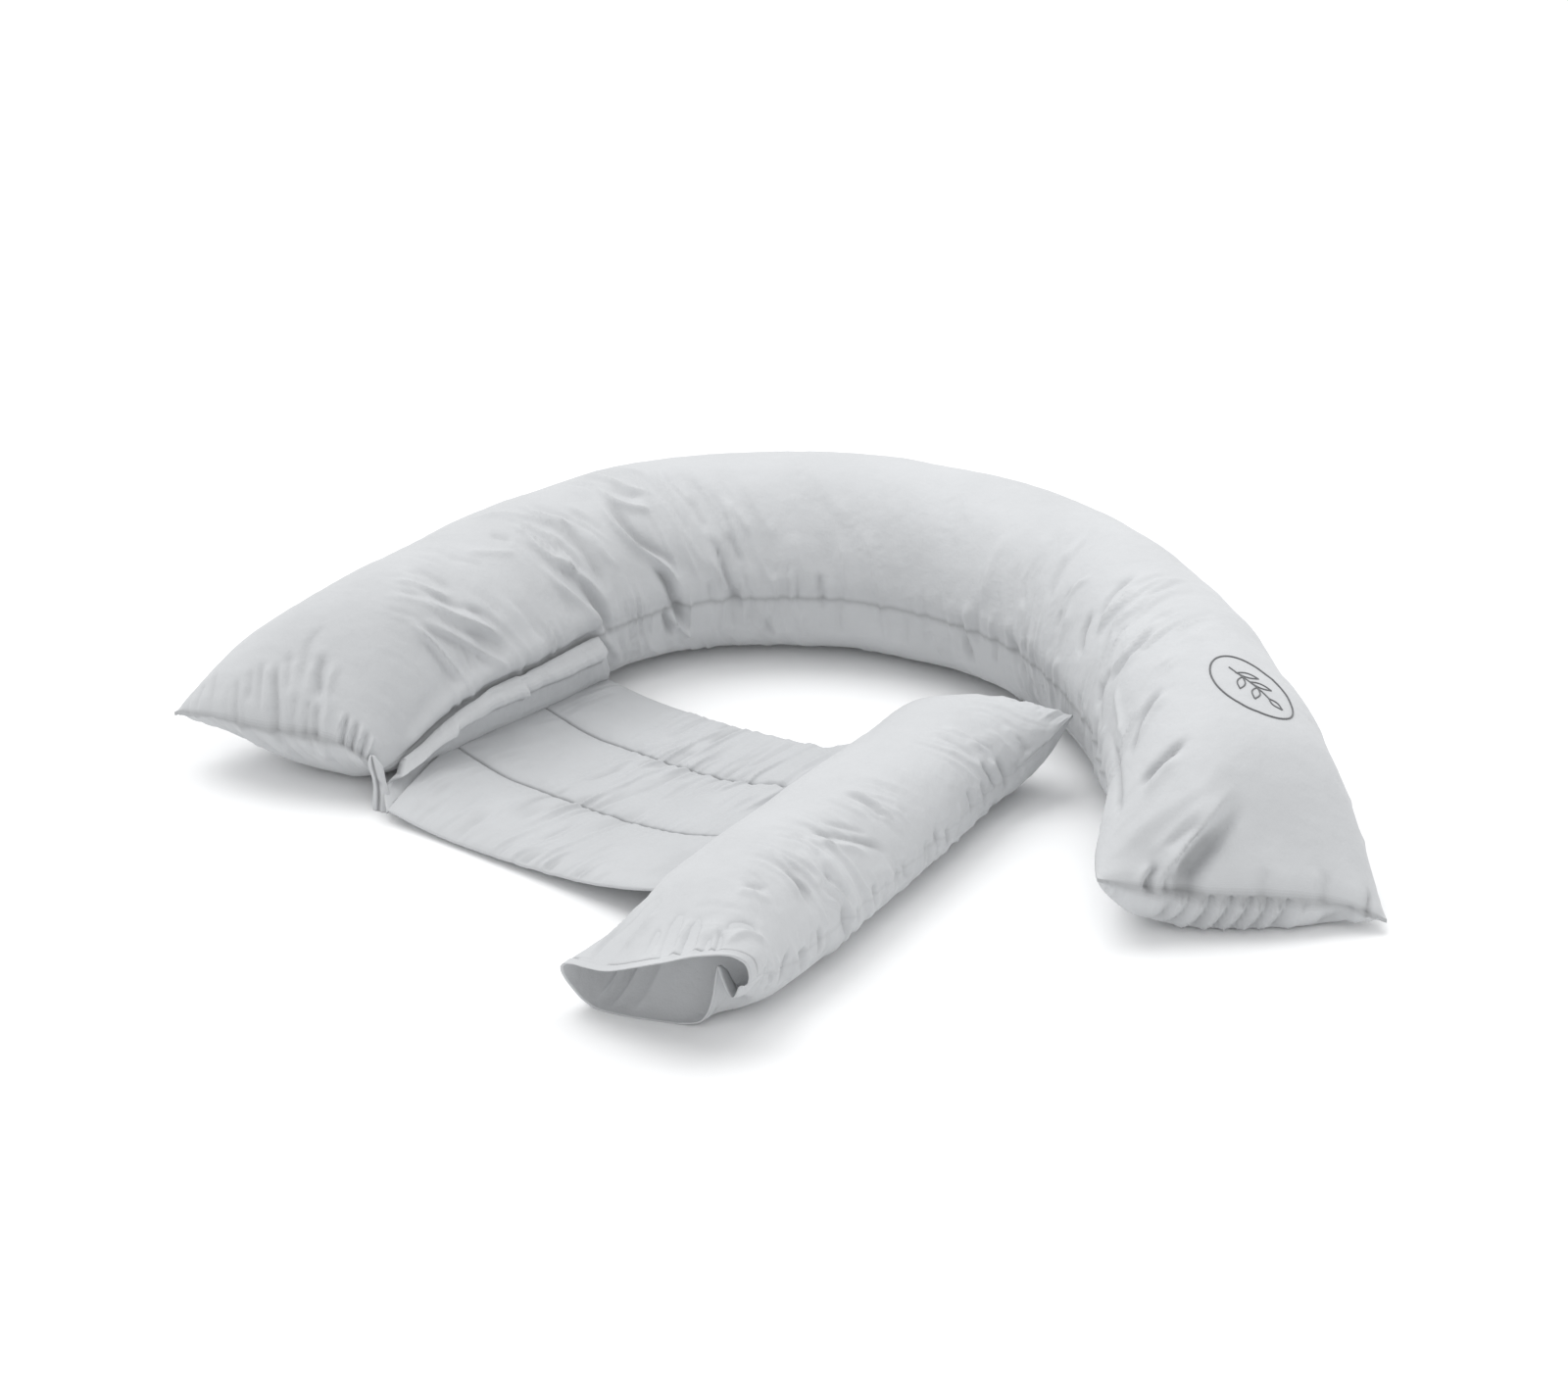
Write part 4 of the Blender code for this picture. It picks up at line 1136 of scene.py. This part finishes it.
BAND_ROLL = np.array((
    # share of the band's length, how full its rolled top is, how far down it reaches
    (0.00, 0.60, 1.40), (0.10, 0.85, 1.35), (0.24, 0.98, 1.24), (0.258, 1.10, 1.34), (0.268, 0.74, 1.05),
    (0.57, 1.00, 1.10), (0.600, 1.22, 1.25), (0.610, 0.74, 1.00), (0.97, 1.05, 1.20), (1.00, 0.70, 1.00),
))


def farthest_out(cloth, origins, outward, heading, heights, window=0.005, slab=0.006, limit=0.15):
    """How far a cloth's points stick out along outward from each origin, at each of its heights.

    It is the largest share along outward of the points that lie beside the origin and near the height.
    """
    offset = cloth[None] - origins[:, None]
    out, along = ((offset[..., :2] * way[:, None]).sum(axis=2) for way in (outward, heading))
    beside = np.where((np.abs(along) < window) & (np.abs(out) < limit), out, -1.0)
    near = (np.abs(cloth[None, :, 2] - z[:, None]) < slab for z in heights.T)
    return np.stack([np.where(close, beside, -1.0).max(axis=1) for close in near], axis=1)


def smoothed_columns(grid, reach=12, width=5.0):
    """Each column blurred along the band by a bell five stations wide."""
    weights = bell(np.arange(-reach, reach + 1), width)
    weights /= weights.sum()
    padded = np.pad(grid, ((reach, reach), (0, 0)), mode="edge")
    return np.stack([np.convolve(column, weights, mode="valid") for column in padded.T], axis=1)


share = np.linspace(0.0, 1.0, BAND_STATIONS)
band_shares = BAND_FROM + (BAND_TO - BAND_FROM) * share
band_heading = along_line(LONG_PILLOW["line"], band_shares)[1]
band_outward = to_the_right(band_heading)
level = np.concatenate([band_outward, np.zeros((BAND_STATIONS, 1))], axis=1)[:, None]
band_seam = pillow_rings(LONG_PILLOW, band_shares, np.array((0.0, 1.0)))[:, 0]
tuck = curve_of(BAND_TUCK, share)
foot = np.concatenate([curve_of(BAND_FOOT, share) - band_outward * tuck[:, :1], tuck[:, 1:]], axis=1)
down, thick = np.array(BAND_FACE).T
down_fine = np.concatenate([np.linspace(0.0, 0.40, 40), np.linspace(0.43, 1.0, 20)])
full_share, reach_down = columns_at(share, BAND_ROLL[:, 0], BAND_ROLL[:, 1:]).T[..., None]

hang = band_seam[:, None] + (foot - band_seam)[:, None] * down_fine[None, :, None]
below_roll = np.clip((down_fine - BAND_ROLL_END) / 0.66, 0.0, 1.0)
hang -= level * (BAND_HOLLOW * np.sin(math.pi * below_roll))[None, :, None]
side_cloth = long_rings[(long_distance > 0.02) & (long_distance < 0.40)]
side_cloth = side_cloth[:, (wrapped(long_degrees) < 20.0) & (wrapped(long_degrees) > -75.0)].reshape(-1, 3)
reach = farthest_out(side_cloth, band_seam, band_outward, band_heading, hang[..., 2])
hung = ((hang - band_seam[:, None])[..., :2] * band_outward[:, None]).sum(axis=2)
inner = hang + level * smoothed_columns(np.maximum(reach + BAND_CLEARANCE - hung, 0.0))[..., None]
reached = np.minimum(down_fine[None, :] / reach_down, 1.0)
full = thick[-1] + (np.interp(reached, down, thick) - thick[-1]) * full_share
wrinkle = 1.2 * soft_noise(share[:, None] * 26.0, down_fine[None, :] * 2.0, 71)
wrinkle *= smooth_step(down_fine / 0.1)
wrinkle += 0.5 * soft_noise(share[:, None] * 90.0, down_fine[None, :] * 5.0, 72)
wrinkle *= smooth_step((1.0 - down_fine) / 0.2)
outer = inner + level * ((full + wrinkle) * MM)[..., None]
over = 0.5 * (inner[:, :1] + outer[:, :1]) + np.array((0.0, 0.0, BAND_TOP_RISE)) * full_share[..., None]
under = 0.5 * (inner[:, -1:] + outer[:, -1:]) - np.array((0.0, 0.0, BAND_FOOT_DROP))
band_grid = np.concatenate([over, outer, under, inner[:, ::-1]], axis=1)
band_length = run_along(band_seam)
turn = np.linspace(0.0, BAND_GIRTH, band_grid.shape[1] + 1)
# painted shade under the rolled top, where its shadow falls, and at the foot seam
painted_shade_under_roll = bell(down_fine[None, :] - 0.32 * reach_down, 0.035) * 0.7
gap = np.zeros(band_grid.shape[:2])
gap[:, 1:1 + outer.shape[1]] = np.maximum(painted_shade_under_roll, bell(1.0 - down_fine, 0.03)[None, :] * 0.9)
joining_band = cloth_mesh("folded_band", band_grid, band_length, turn, gap)
dress(joining_band, band_cloth, "band_cloth", "joining_band")
band_face = outer
print("band length", round(float(band_length[-1]), 3))

# %% [markdown]
# ## The band's end
# The band's front end is folded back on itself and stitched to the pillow's front corner, as a small
# upright pleat. It is a flat loop round a short upright line: wide, thin, with a deep crease down its
# face and a notch where the fold is caught by the stitching.

# %% The band's end
TAB_RINGS = (
    # height, x, y, half width, half thickness
    (0.0004, -0.4128, -0.2650, 0.0090, 0.0032), (0.010, -0.4120, -0.2622, 0.0098, 0.0046),
    (0.024, -0.4128, -0.2590, 0.0080, 0.0046), (0.036, -0.4150, -0.2566, 0.0074, 0.0036),
    (0.048, -0.4176, -0.2556, 0.0078, 0.0040), (0.059, -0.4200, -0.2552, 0.0030, 0.0020),
)
TAB_STATIONS, TAB_POINTS, TAB_LENGTH, TAB_GIRTH = 60, 64, 0.060, 0.045


def tab_grid(stations, points):
    """A flat upright loop: rings of half width times cosine and half thickness times sine.

    A crease runs down its face as a bell of the angle, and a notch crosses it as a bell of the height. Both
    are also given back as painted shade.
    """
    heights = np.linspace(TAB_RINGS[0][0], TAB_RINGS[-1][0], stations)
    middle_x, middle_y, wide, thin = curve_of(TAB_RINGS, heights).T[..., None]
    angle, z = np.arange(points) * 2.0 * math.pi / points, heights[:, None]
    crease = 0.85 * bell(angle - 1.40 * math.pi - 2.5 * z, 0.20)
    notch = 0.45 * bell(z - 0.030, 0.0035) * bell(angle - 1.5 * math.pi, 0.5)
    face = 1.0 - np.minimum(crease + notch, 0.9) + 0.12 * np.sin(3.0 * angle + 160.0 * z)
    x = middle_x + wide * np.cos(angle)[None, :]
    y = middle_y + thin * np.sin(angle)[None, :] * face - 0.30 * (x - middle_x)
    return np.stack([x, y, np.broadcast_to(z, x.shape)], axis=2), np.minimum(crease + notch, 1.0)


grid, gap = tab_grid(TAB_STATIONS, TAB_POINTS)
tab_run, tab_turn = np.linspace(0.0, TAB_LENGTH, TAB_STATIONS), np.linspace(0.0, TAB_GIRTH, TAB_POINTS + 1)
band_end = cloth_mesh("band_end", grid, tab_run, tab_turn, gap)
dress(band_end, band_cloth, "band_cloth", "band_end_tab")

# %% [markdown]
# ## The bolster
# The bolster's case is open at its front end. The mouth is a hemmed edge: the outside of the case runs
# to its lip, turns over it and goes back in as the inside. Behind the mouth the lower layer rises with
# the filling until it meets the upper one. One grid of stations makes all of it: the hollow from its
# inner end out to the lip, and then the outside from the lip to the far end seam.

# %% Folds of the bolster
# pleats behind the mouth
BOLSTER_FOLDS = fold_table("""
3 3.5 82,145 58,157 33,162 13,160
-8 7 66,122 52,141 41,148 28,151 8,152
3.5 5 56,120 42,132 26,137
-3.2 4 42,112 31,113 16,111
-6 6 54,102 32,98 8,92
3.4 4.6 50,92 26,89 2,84
-6 5.4 52,86 30,82 6,77
2.8 4.4 48,79 22,74 2,70
-2.8 4.4 40,70 20,67 4,63
2.6 4.4 50,72 28,66 4,60
-3 3.4 42,66 25,61 3,57
-3.4 5.5 36,64 50,58 56,47 55,34
4 5.5 15,57 36,52 50,41 53,22
""")
# arcs over its crown
BOLSTER_FOLDS += fold_table("""
-2.4 4 89,70 101,63 112,54
2.4 4 77,72 93,60 104,45
-4.5 7.5 151,66 148,50 145,37 142,18
3.4 4.5 138,66 136,50 133,34
3.4 4.5 174,66 172,47 165,30
2.6 4 192,54 191,36 191,18
-2.6 4 187,62 184,43 178,25
-4.2 5 200,76 219,60 239,47 261,32 274,17
-2.6 3.6 222,74 246,56 264,40
3.4 4.2 188,72 209,55 231,41 248,27
3.2 4 290,90 296,68 301,52 301,35
-2.8 3.4 283,82 291,63 296,43
2.6 4 264,90 270,70 276,49
2.6 4 467,78 475,56 479,35
-2.2 4 450,74 457,52 464,31
2.4 4 529,48 531,33 529,17
""")
# short pleats along its right side seam
BOLSTER_FOLDS += fold_table("""
-3.2 3.2 141,11 145,0 143,-12
-3.2 3.2 40,10 26,0 16,-14
-3.4 3.2 99,12 84,0 74,-14
-3 3.2 120,6 112,-5 104,-14
3.2 3.2 78,12 58,0 46,-14
3 3.2 109,8 101,-4 90,-14
-3.4 3.4 242,10 239,0 243,-16
-3.6 4 184,12 185,0 195,-20
3.2 3.6 197,8 201,-5 208,-20
-4.2 3.4 464,32 472,16 485,-4
3.6 3.4 480,30 485,13 494,-6
-4 3.4 492,25 499,5 508,-12
-3.2 3.2 452,18 457,3 468,-14
-3.4 3.2 425,21 430,8 433,-6
3 3.2 440,21 447,5 455,-10
-4 3.2 353,12 362,-4 361,-18
-3.6 3.2 375,6 382,-8 380,-20
3.4 3.2 364,8 372,-8 370,-20
-3 3.4 532,36 535,21 539,6
-2.6 3.6 290,10 296,0 310,-15
-2.6 3.6 337,10 336,-2 331,-14
""")
BOLSTER_FOLDS += puckers(31, 0.0, (0.03, 0.58), 22, 22.0, 1.6, 3.6)
BOLSTER_FOLDS += puckers(32, 0.0, (0.03, 0.58), 26, 24.0, 2.0, 3.6, side=-1.0)
BOLSTER_FOLDS += puckers(33, 180.0, (0.03, 0.58), 34, 18.0, 1.8, 4.0)
BOLSTER_FOLDS += end_gathers(34, 0.600, -1.0, (10.0, 170.0), 18, 0.045, 2.0, 3.4)
MOUTH_RIDGES = fold_table("""
3 5 0,214 40,216 85,220
2.5 5 0,236 40,238 85,240
3 6 4,258 40,258 85,258
""")
print(len(BOLSTER_FOLDS), "folds on the bolster")

# %% [markdown]
# The bolster is built in the same layers as the long pillow. Its mouth could be cut out of a closed tube,
# but a hem that turns over a lip is one continuous surface, so the inside is made from the outside: it is
# drawn in a little, its stations are put in reverse order, and both go into one grid.

# %% The bolster
BOLSTER_STATIONS, BOLSTER_HALF_ROUND, MOUTH_STATIONS = 301, 130, 60
MOUTH_DEPTH, MOUTH_WALL_SHARE, HEM_WIDTH, HEM_HELD = 0.085, 0.030, 0.012, 0.014
PLEAT_TURN, PLEAT_REACH, PLEAT_HEIGHT, PLEAT_LEAN = -34.0, 0.055, 0.052, (-0.004, 0.010)
BOLSTER_FOLDS_AFTER, BOLSTER_DRAGS_AFTER = 0.90, 1.70
BOLSTER_DRAGS = (
    # distance along, slope, height in mm, lowest and highest angle
    (0.00, -0.10, 0.3, -60.0, 150.0), (0.07, 0.10, 0.9, -70.0, 120.0), (0.14, 0.15, 1.6, -70.0, 105.0),
    (0.30, 0.30, 1.3, -70.0, 100.0), (0.45, 0.35, 1.1, -70.0, 95.0), (0.60, 0.30, 0.9, -70.0, 120.0),
)


def mouth_hollow(outer):
    """The inside of the mouth, from its closed inner end out to the lip.

    It is the outside, drawn in by a small share of its distance from the middle. Its lower layer rises
    towards the upper one as a soft step of the depth.
    """
    middle = outer.mean(axis=1, keepdims=True)
    inside = middle + (outer - middle) * (1.0 - MOUTH_WALL_SHARE)
    closing = smooth_step(np.linspace(0.0, 1.0, len(outer)) ** 1.3)[:, None] * 0.97
    point = np.arange(inside.shape[1])
    partner = inside[:, -point % len(point), 2]
    lower = point > len(point) // 2
    inside[..., 2] = np.where(lower, inside[..., 2] + (partner - inside[..., 2]) * closing, inside[..., 2])
    return inside[::-1]


def lip_pleat(distance, degrees):
    """The lower layer's right side stands up in a pointed pleat at the lip, with a notch beside it.

    Both are bells of the angle, high at the lip, that fade out along the bolster.
    """
    turn = wrapped(degrees)[None, :]
    fade = 1.0 - smooth_step(distance / PLEAT_REACH)[:, None]
    peak = np.exp(-np.abs((turn - PLEAT_TURN) / 7.0) ** 1.5)
    notch = bell(turn - PLEAT_TURN - 20.0, 9.0)
    return np.stack([
        (PLEAT_LEAN[0] * peak - 0.003 * notch) * fade,
        (PLEAT_LEAN[1] * peak + 0.004 * notch) * fade,
        (PLEAT_HEIGHT * peak + 0.22 * PLEAT_HEIGHT * notch) * fade**1.5,
    ], axis=2)


shares, degrees = np.linspace(0.0, 1.0, BOLSTER_STATIONS), half_turns(BOLSTER_HALF_ROUND, 0.35)
turn, distance = wrapped(degrees)[None, :], shares * BOLSTER_LENGTH
from_far = distance[-1] - distance
rings = pillow_rings(BOLSTER, shares, degrees) + lip_pleat(distance, degrees)
to_far = smooth_step(from_far / 0.008)
whole = off_corners(from_far, degrees)
lifted = smooth_step(rings[..., 2] / FLOOR_EASE) * (0.3 + 0.7 * to_far)[:, None] * whole
folds = fold_field(round_folds(BOLSTER_FOLDS), distance, around(degrees))
fine_drags = drags(distance, degrees, BOLSTER_DRAGS, 65)
rings = raised_cloth(rings, (FOLDS_BEFORE * folds + 0.8 * lumps(distance, degrees, 60)) * lifted)

at = distance[:, None]
slack = reduce(np.maximum, (
    np.full(folds.shape, 0.026),
    0.065 * span(at, 0.06, 0.50, 0.06) * span(turn, -70.0, 130.0, 40.0),
    0.060 * smooth_step((0.10 - from_far) / 0.08)[:, None],
))
held = sewn_fast(turn, (from_far[:, None] < END_HELD) | (at < HEM_HELD))
settled = settled_folds("bolster_slack", rings, slack, held, (5, 7))
rings = rings + settled * ((to_far * smooth_step((distance - 0.012) / 0.02))[:, None] * whole)[..., None]
fine = BOLSTER_FOLDS_AFTER * folds + BOLSTER_DRAGS_AFTER * fine_drags + crumple(distance, degrees, 60)
fine += seam_groove(degrees, 0.0, 0.8, 0.9)[None, :] + seam_groove(degrees, 180.0, 1.0, 1.4)[None, :]
hem_line = 0.8 * bell(distance - HEM_WIDTH, 0.0012)
fine += (0.7 * smooth_step((HEM_WIDTH - distance) / 0.0015) - hem_line)[:, None] * MM
rings = raised_cloth(rings, fine * lifted, softened(rings, 2, 3))

depth = np.linspace(0.0, MOUTH_DEPTH, MOUTH_STATIONS)
hollow = pillow_rings(BOLSTER, depth / BOLSTER_LENGTH, degrees)
inside = mouth_hollow(hollow + (rings[0] - hollow[0])[None] * np.exp(-depth / 0.02)[:, None, None])
depth = depth[::-1]
ridge = fold_field(round_folds(MOUTH_RIDGES), depth, around(degrees)) * smooth_step(depth / 0.01)[:, None]
inside -= outward_normals(inside[::-1])[::-1] * ridge[..., None]
inside[..., 2] = np.maximum(inside[..., 2], FLOOR_REST + 0.0012)
# painted shade in the fold hollows, along the seams, at the far end seam and the hem line; none inside the
# mouth
gap = painted_crease_shade(folds + fine_drags, 0.15 * seam_painted_shade(degrees) + (bell(from_far, 0.0016) + hem_line)[:, None])
gap = np.concatenate([np.zeros(inside.shape[:2]), gap])
run = np.concatenate([-depth - 0.001, distance])
bolster = cloth_mesh("bolster_case", np.concatenate([inside, rings]), run, turn_lengths(degrees), gap)
dress(bolster, pillow_cloth, "pillow_cloth", "bolster")
bolster_rings, bolster_degrees, bolster_distance = rings, degrees, distance

# %% [markdown]
# ## The quilted panel
# Two layers of cotton with thin wadding between them are sewn together along two lines, which leaves
# three channels. The panel is slack between its two sewn edges, so it sags to the floor, and the
# bolster's weight pushes it into wrinkles that run beside the bolster. Its height is its sag plus half of
# its padding, and both are functions of how far along and how far across a point is.

# %% The quilted panel
PANEL_SEAM_SHARES = (0.0, 0.367, 0.717, 1.0)
PANEL_PADDING, PANEL_SEAM_THICKNESS = 0.0135, 0.0022
PANEL_BOLSTER_SHARES = (0.240, 0.840)
PANEL_SAG = (
    # share of the way to the bolster, height of the middle layer at the front edge, middle, back edge
    (0.00, 0.0140, 0.0250, 0.0170), (0.15, 0.0080, 0.0090, 0.0100), (0.35, 0.0080, 0.0055, 0.0090),
    (0.55, 0.0130, 0.0070, 0.0120), (0.75, 0.0240, 0.0160, 0.0190), (0.90, 0.0390, 0.0330, 0.0310),
    (1.00, 0.0520, 0.0520, 0.0520),
)
PANEL_WIDE, PANEL_LONG, PANEL_STATIONS, PANEL_POINTS = 0.27, 0.33, 240, 181
BAND_GAP, BOLSTER_GAP, BROAD_MM, NARROW_MM, STITCH_CUT_MM = 0.0008, 0.0028, 2.4, 2.1, 1.5


def cross_wrinkles(x, y, share):
    """Fine straight creases across the channels, in metres: a ridged noise, long across and narrow along.

    They grow towards the bolster, drift a little towards it, and differ from one channel to the next.
    """
    drift = x - 0.16 * y + 0.0045 * soft_noise(x / 0.05, y / 0.07, 85)
    broad = np.maximum(ridges(drift / 0.0125, y / 0.120, 86, 2.3), -0.3)
    narrow = np.maximum(ridges(drift / 0.0070, y / 0.060, 87, 2.3), -0.3)
    patch = smooth_step(0.75 + 0.9 * soft_noise(x / 0.055, y / 0.075, 88))
    height = 0.25 + 1.15 * smooth_step((share - 0.12) / 0.55)[:, None]
    return height * patch * (BROAD_MM * broad + NARROW_MM * narrow) * MM


def panel_grid(near_edge, far_edge, stations, points):
    """The panel's rings: its front tip, its upper face, its back tip and its lower face, and its painted
    shade.

    Padding swells from each seam as 1 - exp(-distance), and the stitches cut a narrow bell into it.
    """
    edges = np.array(PANEL_SEAM_SHARES)
    step = np.arange(points) / (points - 1.0) * 3.0
    along = np.interp(step - 0.10 * np.sin(2.0 * math.pi * step), np.arange(4), edges)
    from_seam = np.abs(along[:, None] - edges[None]).min(axis=1) * PANEL_LONG / MM
    cut = bell(from_seam, 1.3) * (along > 0.01) * (along < 0.99)
    near, far = (
        columns_at(along, np.linspace(0.0, 1.0, len(edge)), edge) for edge in (near_edge, far_edge)
    )
    share = np.linspace(0.0, 1.0, stations)
    front, centre, back = curve_of(PANEL_SAG, share).T[..., None]
    off_middle = 2.0 * along - 1.0
    sag = centre + 0.5 * (back - front) * off_middle + (0.5 * (back + front) - centre) * off_middle**2
    middle = np.maximum(sag, 0.5 * PANEL_PADDING)
    at_bolster, at_band = smooth_step((1.0 - share) / 0.15), smooth_step(share / 0.1)
    ends = np.minimum(0.45 + 0.55 * at_bolster, 0.35 + 0.65 * at_band)
    swell = (PANEL_PADDING - PANEL_SEAM_THICKNESS) * (1.0 - np.exp(-from_seam / 7.0))[None]
    half = 0.5 * (PANEL_SEAM_THICKNESS + swell * ends[:, None])
    x, y = np.meshgrid(share * PANEL_WIDE, along * PANEL_LONG, indexing="ij")
    wrinkles = cross_wrinkles(x, y, share)
    wrinkles += (0.5 * soft_noise(x / 0.03, y / 0.03, 82) + 0.2 * soft_noise(x / 0.010, y / 0.012, 83)) * MM
    wrinkles *= (0.35 + 0.65 * smooth_step(from_seam / 5.0))[None] * smooth_step(share / 0.04)[:, None]
    plan = near[None] + (far - near)[None] * share[:, None, None]
    top, low, tips = plan.copy(), plan.copy(), plan.copy()
    top[..., 2] = middle + half + wrinkles - STITCH_CUT_MM * cut * MM
    low[..., 2] = np.maximum(middle - half + 0.5 * wrinkles, FLOOR_REST)
    tips[..., 2] = middle
    rings = np.concatenate([tips[:, :1], top[:, 1:-1], tips[:, -1:], low[:, -2:0:-1]], axis=1)
    # painted shade along the stitch lines and in the wrinkles' hollows
    gap = cut[None] + np.clip(-wrinkles / (4.0 * MM), 0.0, 0.5)
    return rings, np.concatenate([gap, np.zeros_like(gap[:, -2:0:-1])], axis=1), along, share


side = pillow_rings(BOLSTER, np.linspace(*PANEL_BOLSTER_SHARES, 60), np.array((150.0, 180.0, 210.0)))
away = unit(outward_normals(side)[:, 1] * (1.0, 1.0, 0.0))
near_edge, far_edge = band_face[:, -1] + level[:, 0] * BAND_GAP, side[:, 1] + away * BOLSTER_GAP
grid, gap, panel_along, panel_share = panel_grid(near_edge, far_edge, PANEL_STATIONS, PANEL_POINTS)
panel_turn = np.concatenate([panel_along, 2.0 - panel_along[-2:0:-1], [2.0]]) * PANEL_LONG
panel = cloth_mesh("quilted_sheet", grid, panel_share * PANEL_WIDE, panel_turn, gap)
dress(panel, panel_cloth, "panel_cloth", "quilted_panel")

# %% [markdown]
# The visible machine stitches are in a slightly darker thread: two rows along the panel's channels, one
# near the band's foot, where the panel is sewn to it, and one round the hem of the bolster's mouth.

# %% Machine stitches
# how many grid rows stay free at an edge, the band's row that is sewn, and where the hem shows, in degrees
PANEL_MARGIN, BAND_MARGIN, BAND_FOOT_ROW, HEM_SEEN = 4, 6, -4, (-20.0, 200.0)

seam_columns = [int(np.abs(panel_along - share).argmin()) for share in PANEL_SEAM_SHARES[1:3]]
sewn_rows = grid[PANEL_MARGIN:]
upright = np.broadcast_to((0.0, 0.0, 1.0), sewn_rows[:, 0].shape)
stitch_row("channel_stitches", [(sewn_rows[:, column], upright) for column in seam_columns], seam_thread)
hem_station = int(np.abs(bolster_distance - HEM_WIDTH).argmin())
hem_turn = wrapped(bolster_degrees)
hem_points = np.flatnonzero((hem_turn > HEM_SEEN[0]) & (hem_turn < HEM_SEEN[1]))
hem_points = hem_points[np.argsort(hem_turn[hem_points])]
hem_path = [surface[hem_station, hem_points] for surface in (bolster_rings, outward_normals(bolster_rings))]
stitch_row("hem_stitches", [hem_path], seam_thread, 0.0036, 0.0024)
off_ends = slice(BAND_MARGIN, -BAND_MARGIN)
stitch_row("band_stitches", [(band_face[off_ends, BAND_FOOT_ROW], level[off_ends, 0])], seam_thread)

# %% [markdown]
# ## The floor, the light and the camera
# The pillow lies on a plain pale floor under an even white sky, as in a small studio. A broad sun from
# above, behind and the left gives the shadows, and a faint lamp above the right arm lightens its crown.
# The camera looks down at it from the front, two metres up and far enough away to keep the pillow's
# proportions true.

# %% Floor, light and camera
FLOOR_WIDE, FLOOR_COLOUR, SKY_COLOUR = 30.0, (0.93, 0.935, 0.94, 1.0), (1.0, 1.0, 1.0, 1.0)
LAMP_PLACE, LAMP_TARGET, LAMP_WIDE, LAMP_POWER = (0.55, 0.35, 1.50), (0.20, 0.0, 0.0), 1.0, 5.2
SUN_WAY, SUN_SPREAD, SUN_POWER, SKY_POWER = (0.42, -0.30, -1.0), math.radians(40.0), 1.09, 0.885
CAMERA_PLACE, CAMERA_TARGET = (0.0240, -3.4607, 2.004), (0.0240, 0.2303, 0.0)
LENS_MM, SENSOR_MM = 88.83, 36.0


def plain_floor():
    """A wide flat square under the pillow, almost white and matt."""
    mesh = bpy.data.meshes.new("studio_floor")
    corners = [(x * FLOOR_WIDE, y * FLOOR_WIDE, 0.0) for x, y in ((-1, -1), (1, -1), (1, 1), (-1, 1))]
    mesh.from_pydata(corners, [], [(0, 1, 2, 3)])
    floor = into_scene("studio_floor", mesh)
    paint, add, shade = start_material("studio_white")
    shade({"Base Color": FLOOR_COLOUR, "Roughness": 0.9})
    mesh.materials.append(paint)


def face_along(thing, way):
    """Turns a light or a camera so that it looks along a direction."""
    thing.rotation_euler = Vector(way).to_track_quat("-Z", "Y").to_euler()


def soft_light(name, place, target, size, power):
    """A square area light that faces its target."""
    lamp = bpy.data.lights.new(name, "AREA")
    lamp.shape, lamp.size, lamp.energy = "SQUARE", size, power
    light = into_scene(name, lamp)
    light.location = place
    face_along(light, Vector(target) - Vector(place))


plain_floor()
soft_light("side_key", LAMP_PLACE, LAMP_TARGET, LAMP_WIDE, LAMP_POWER)
sun = bpy.data.lights.new("overhead", "SUN")
sun.energy, sun.angle = SUN_POWER, SUN_SPREAD
face_along(into_scene("overhead", sun), SUN_WAY)
world = bpy.data.worlds.new("studio_air")
world.use_nodes = True
sky = world.node_tree.nodes["Background"].inputs
sky["Color"].default_value, sky["Strength"].default_value = SKY_COLOUR, SKY_POWER
bpy.context.scene.world = world
bpy.context.scene.view_settings.view_transform = "Standard"

lens = bpy.data.cameras.new("camera")
lens.lens, lens.sensor_width = LENS_MM, SENSOR_MM
camera = into_scene("camera", lens)
camera.location = CAMERA_PLACE
face_along(camera, Vector(CAMERA_TARGET) - Vector(CAMERA_PLACE))
bpy.context.scene.camera = camera
print("camera distance", round((Vector(CAMERA_TARGET) - Vector(CAMERA_PLACE)).length, 3))
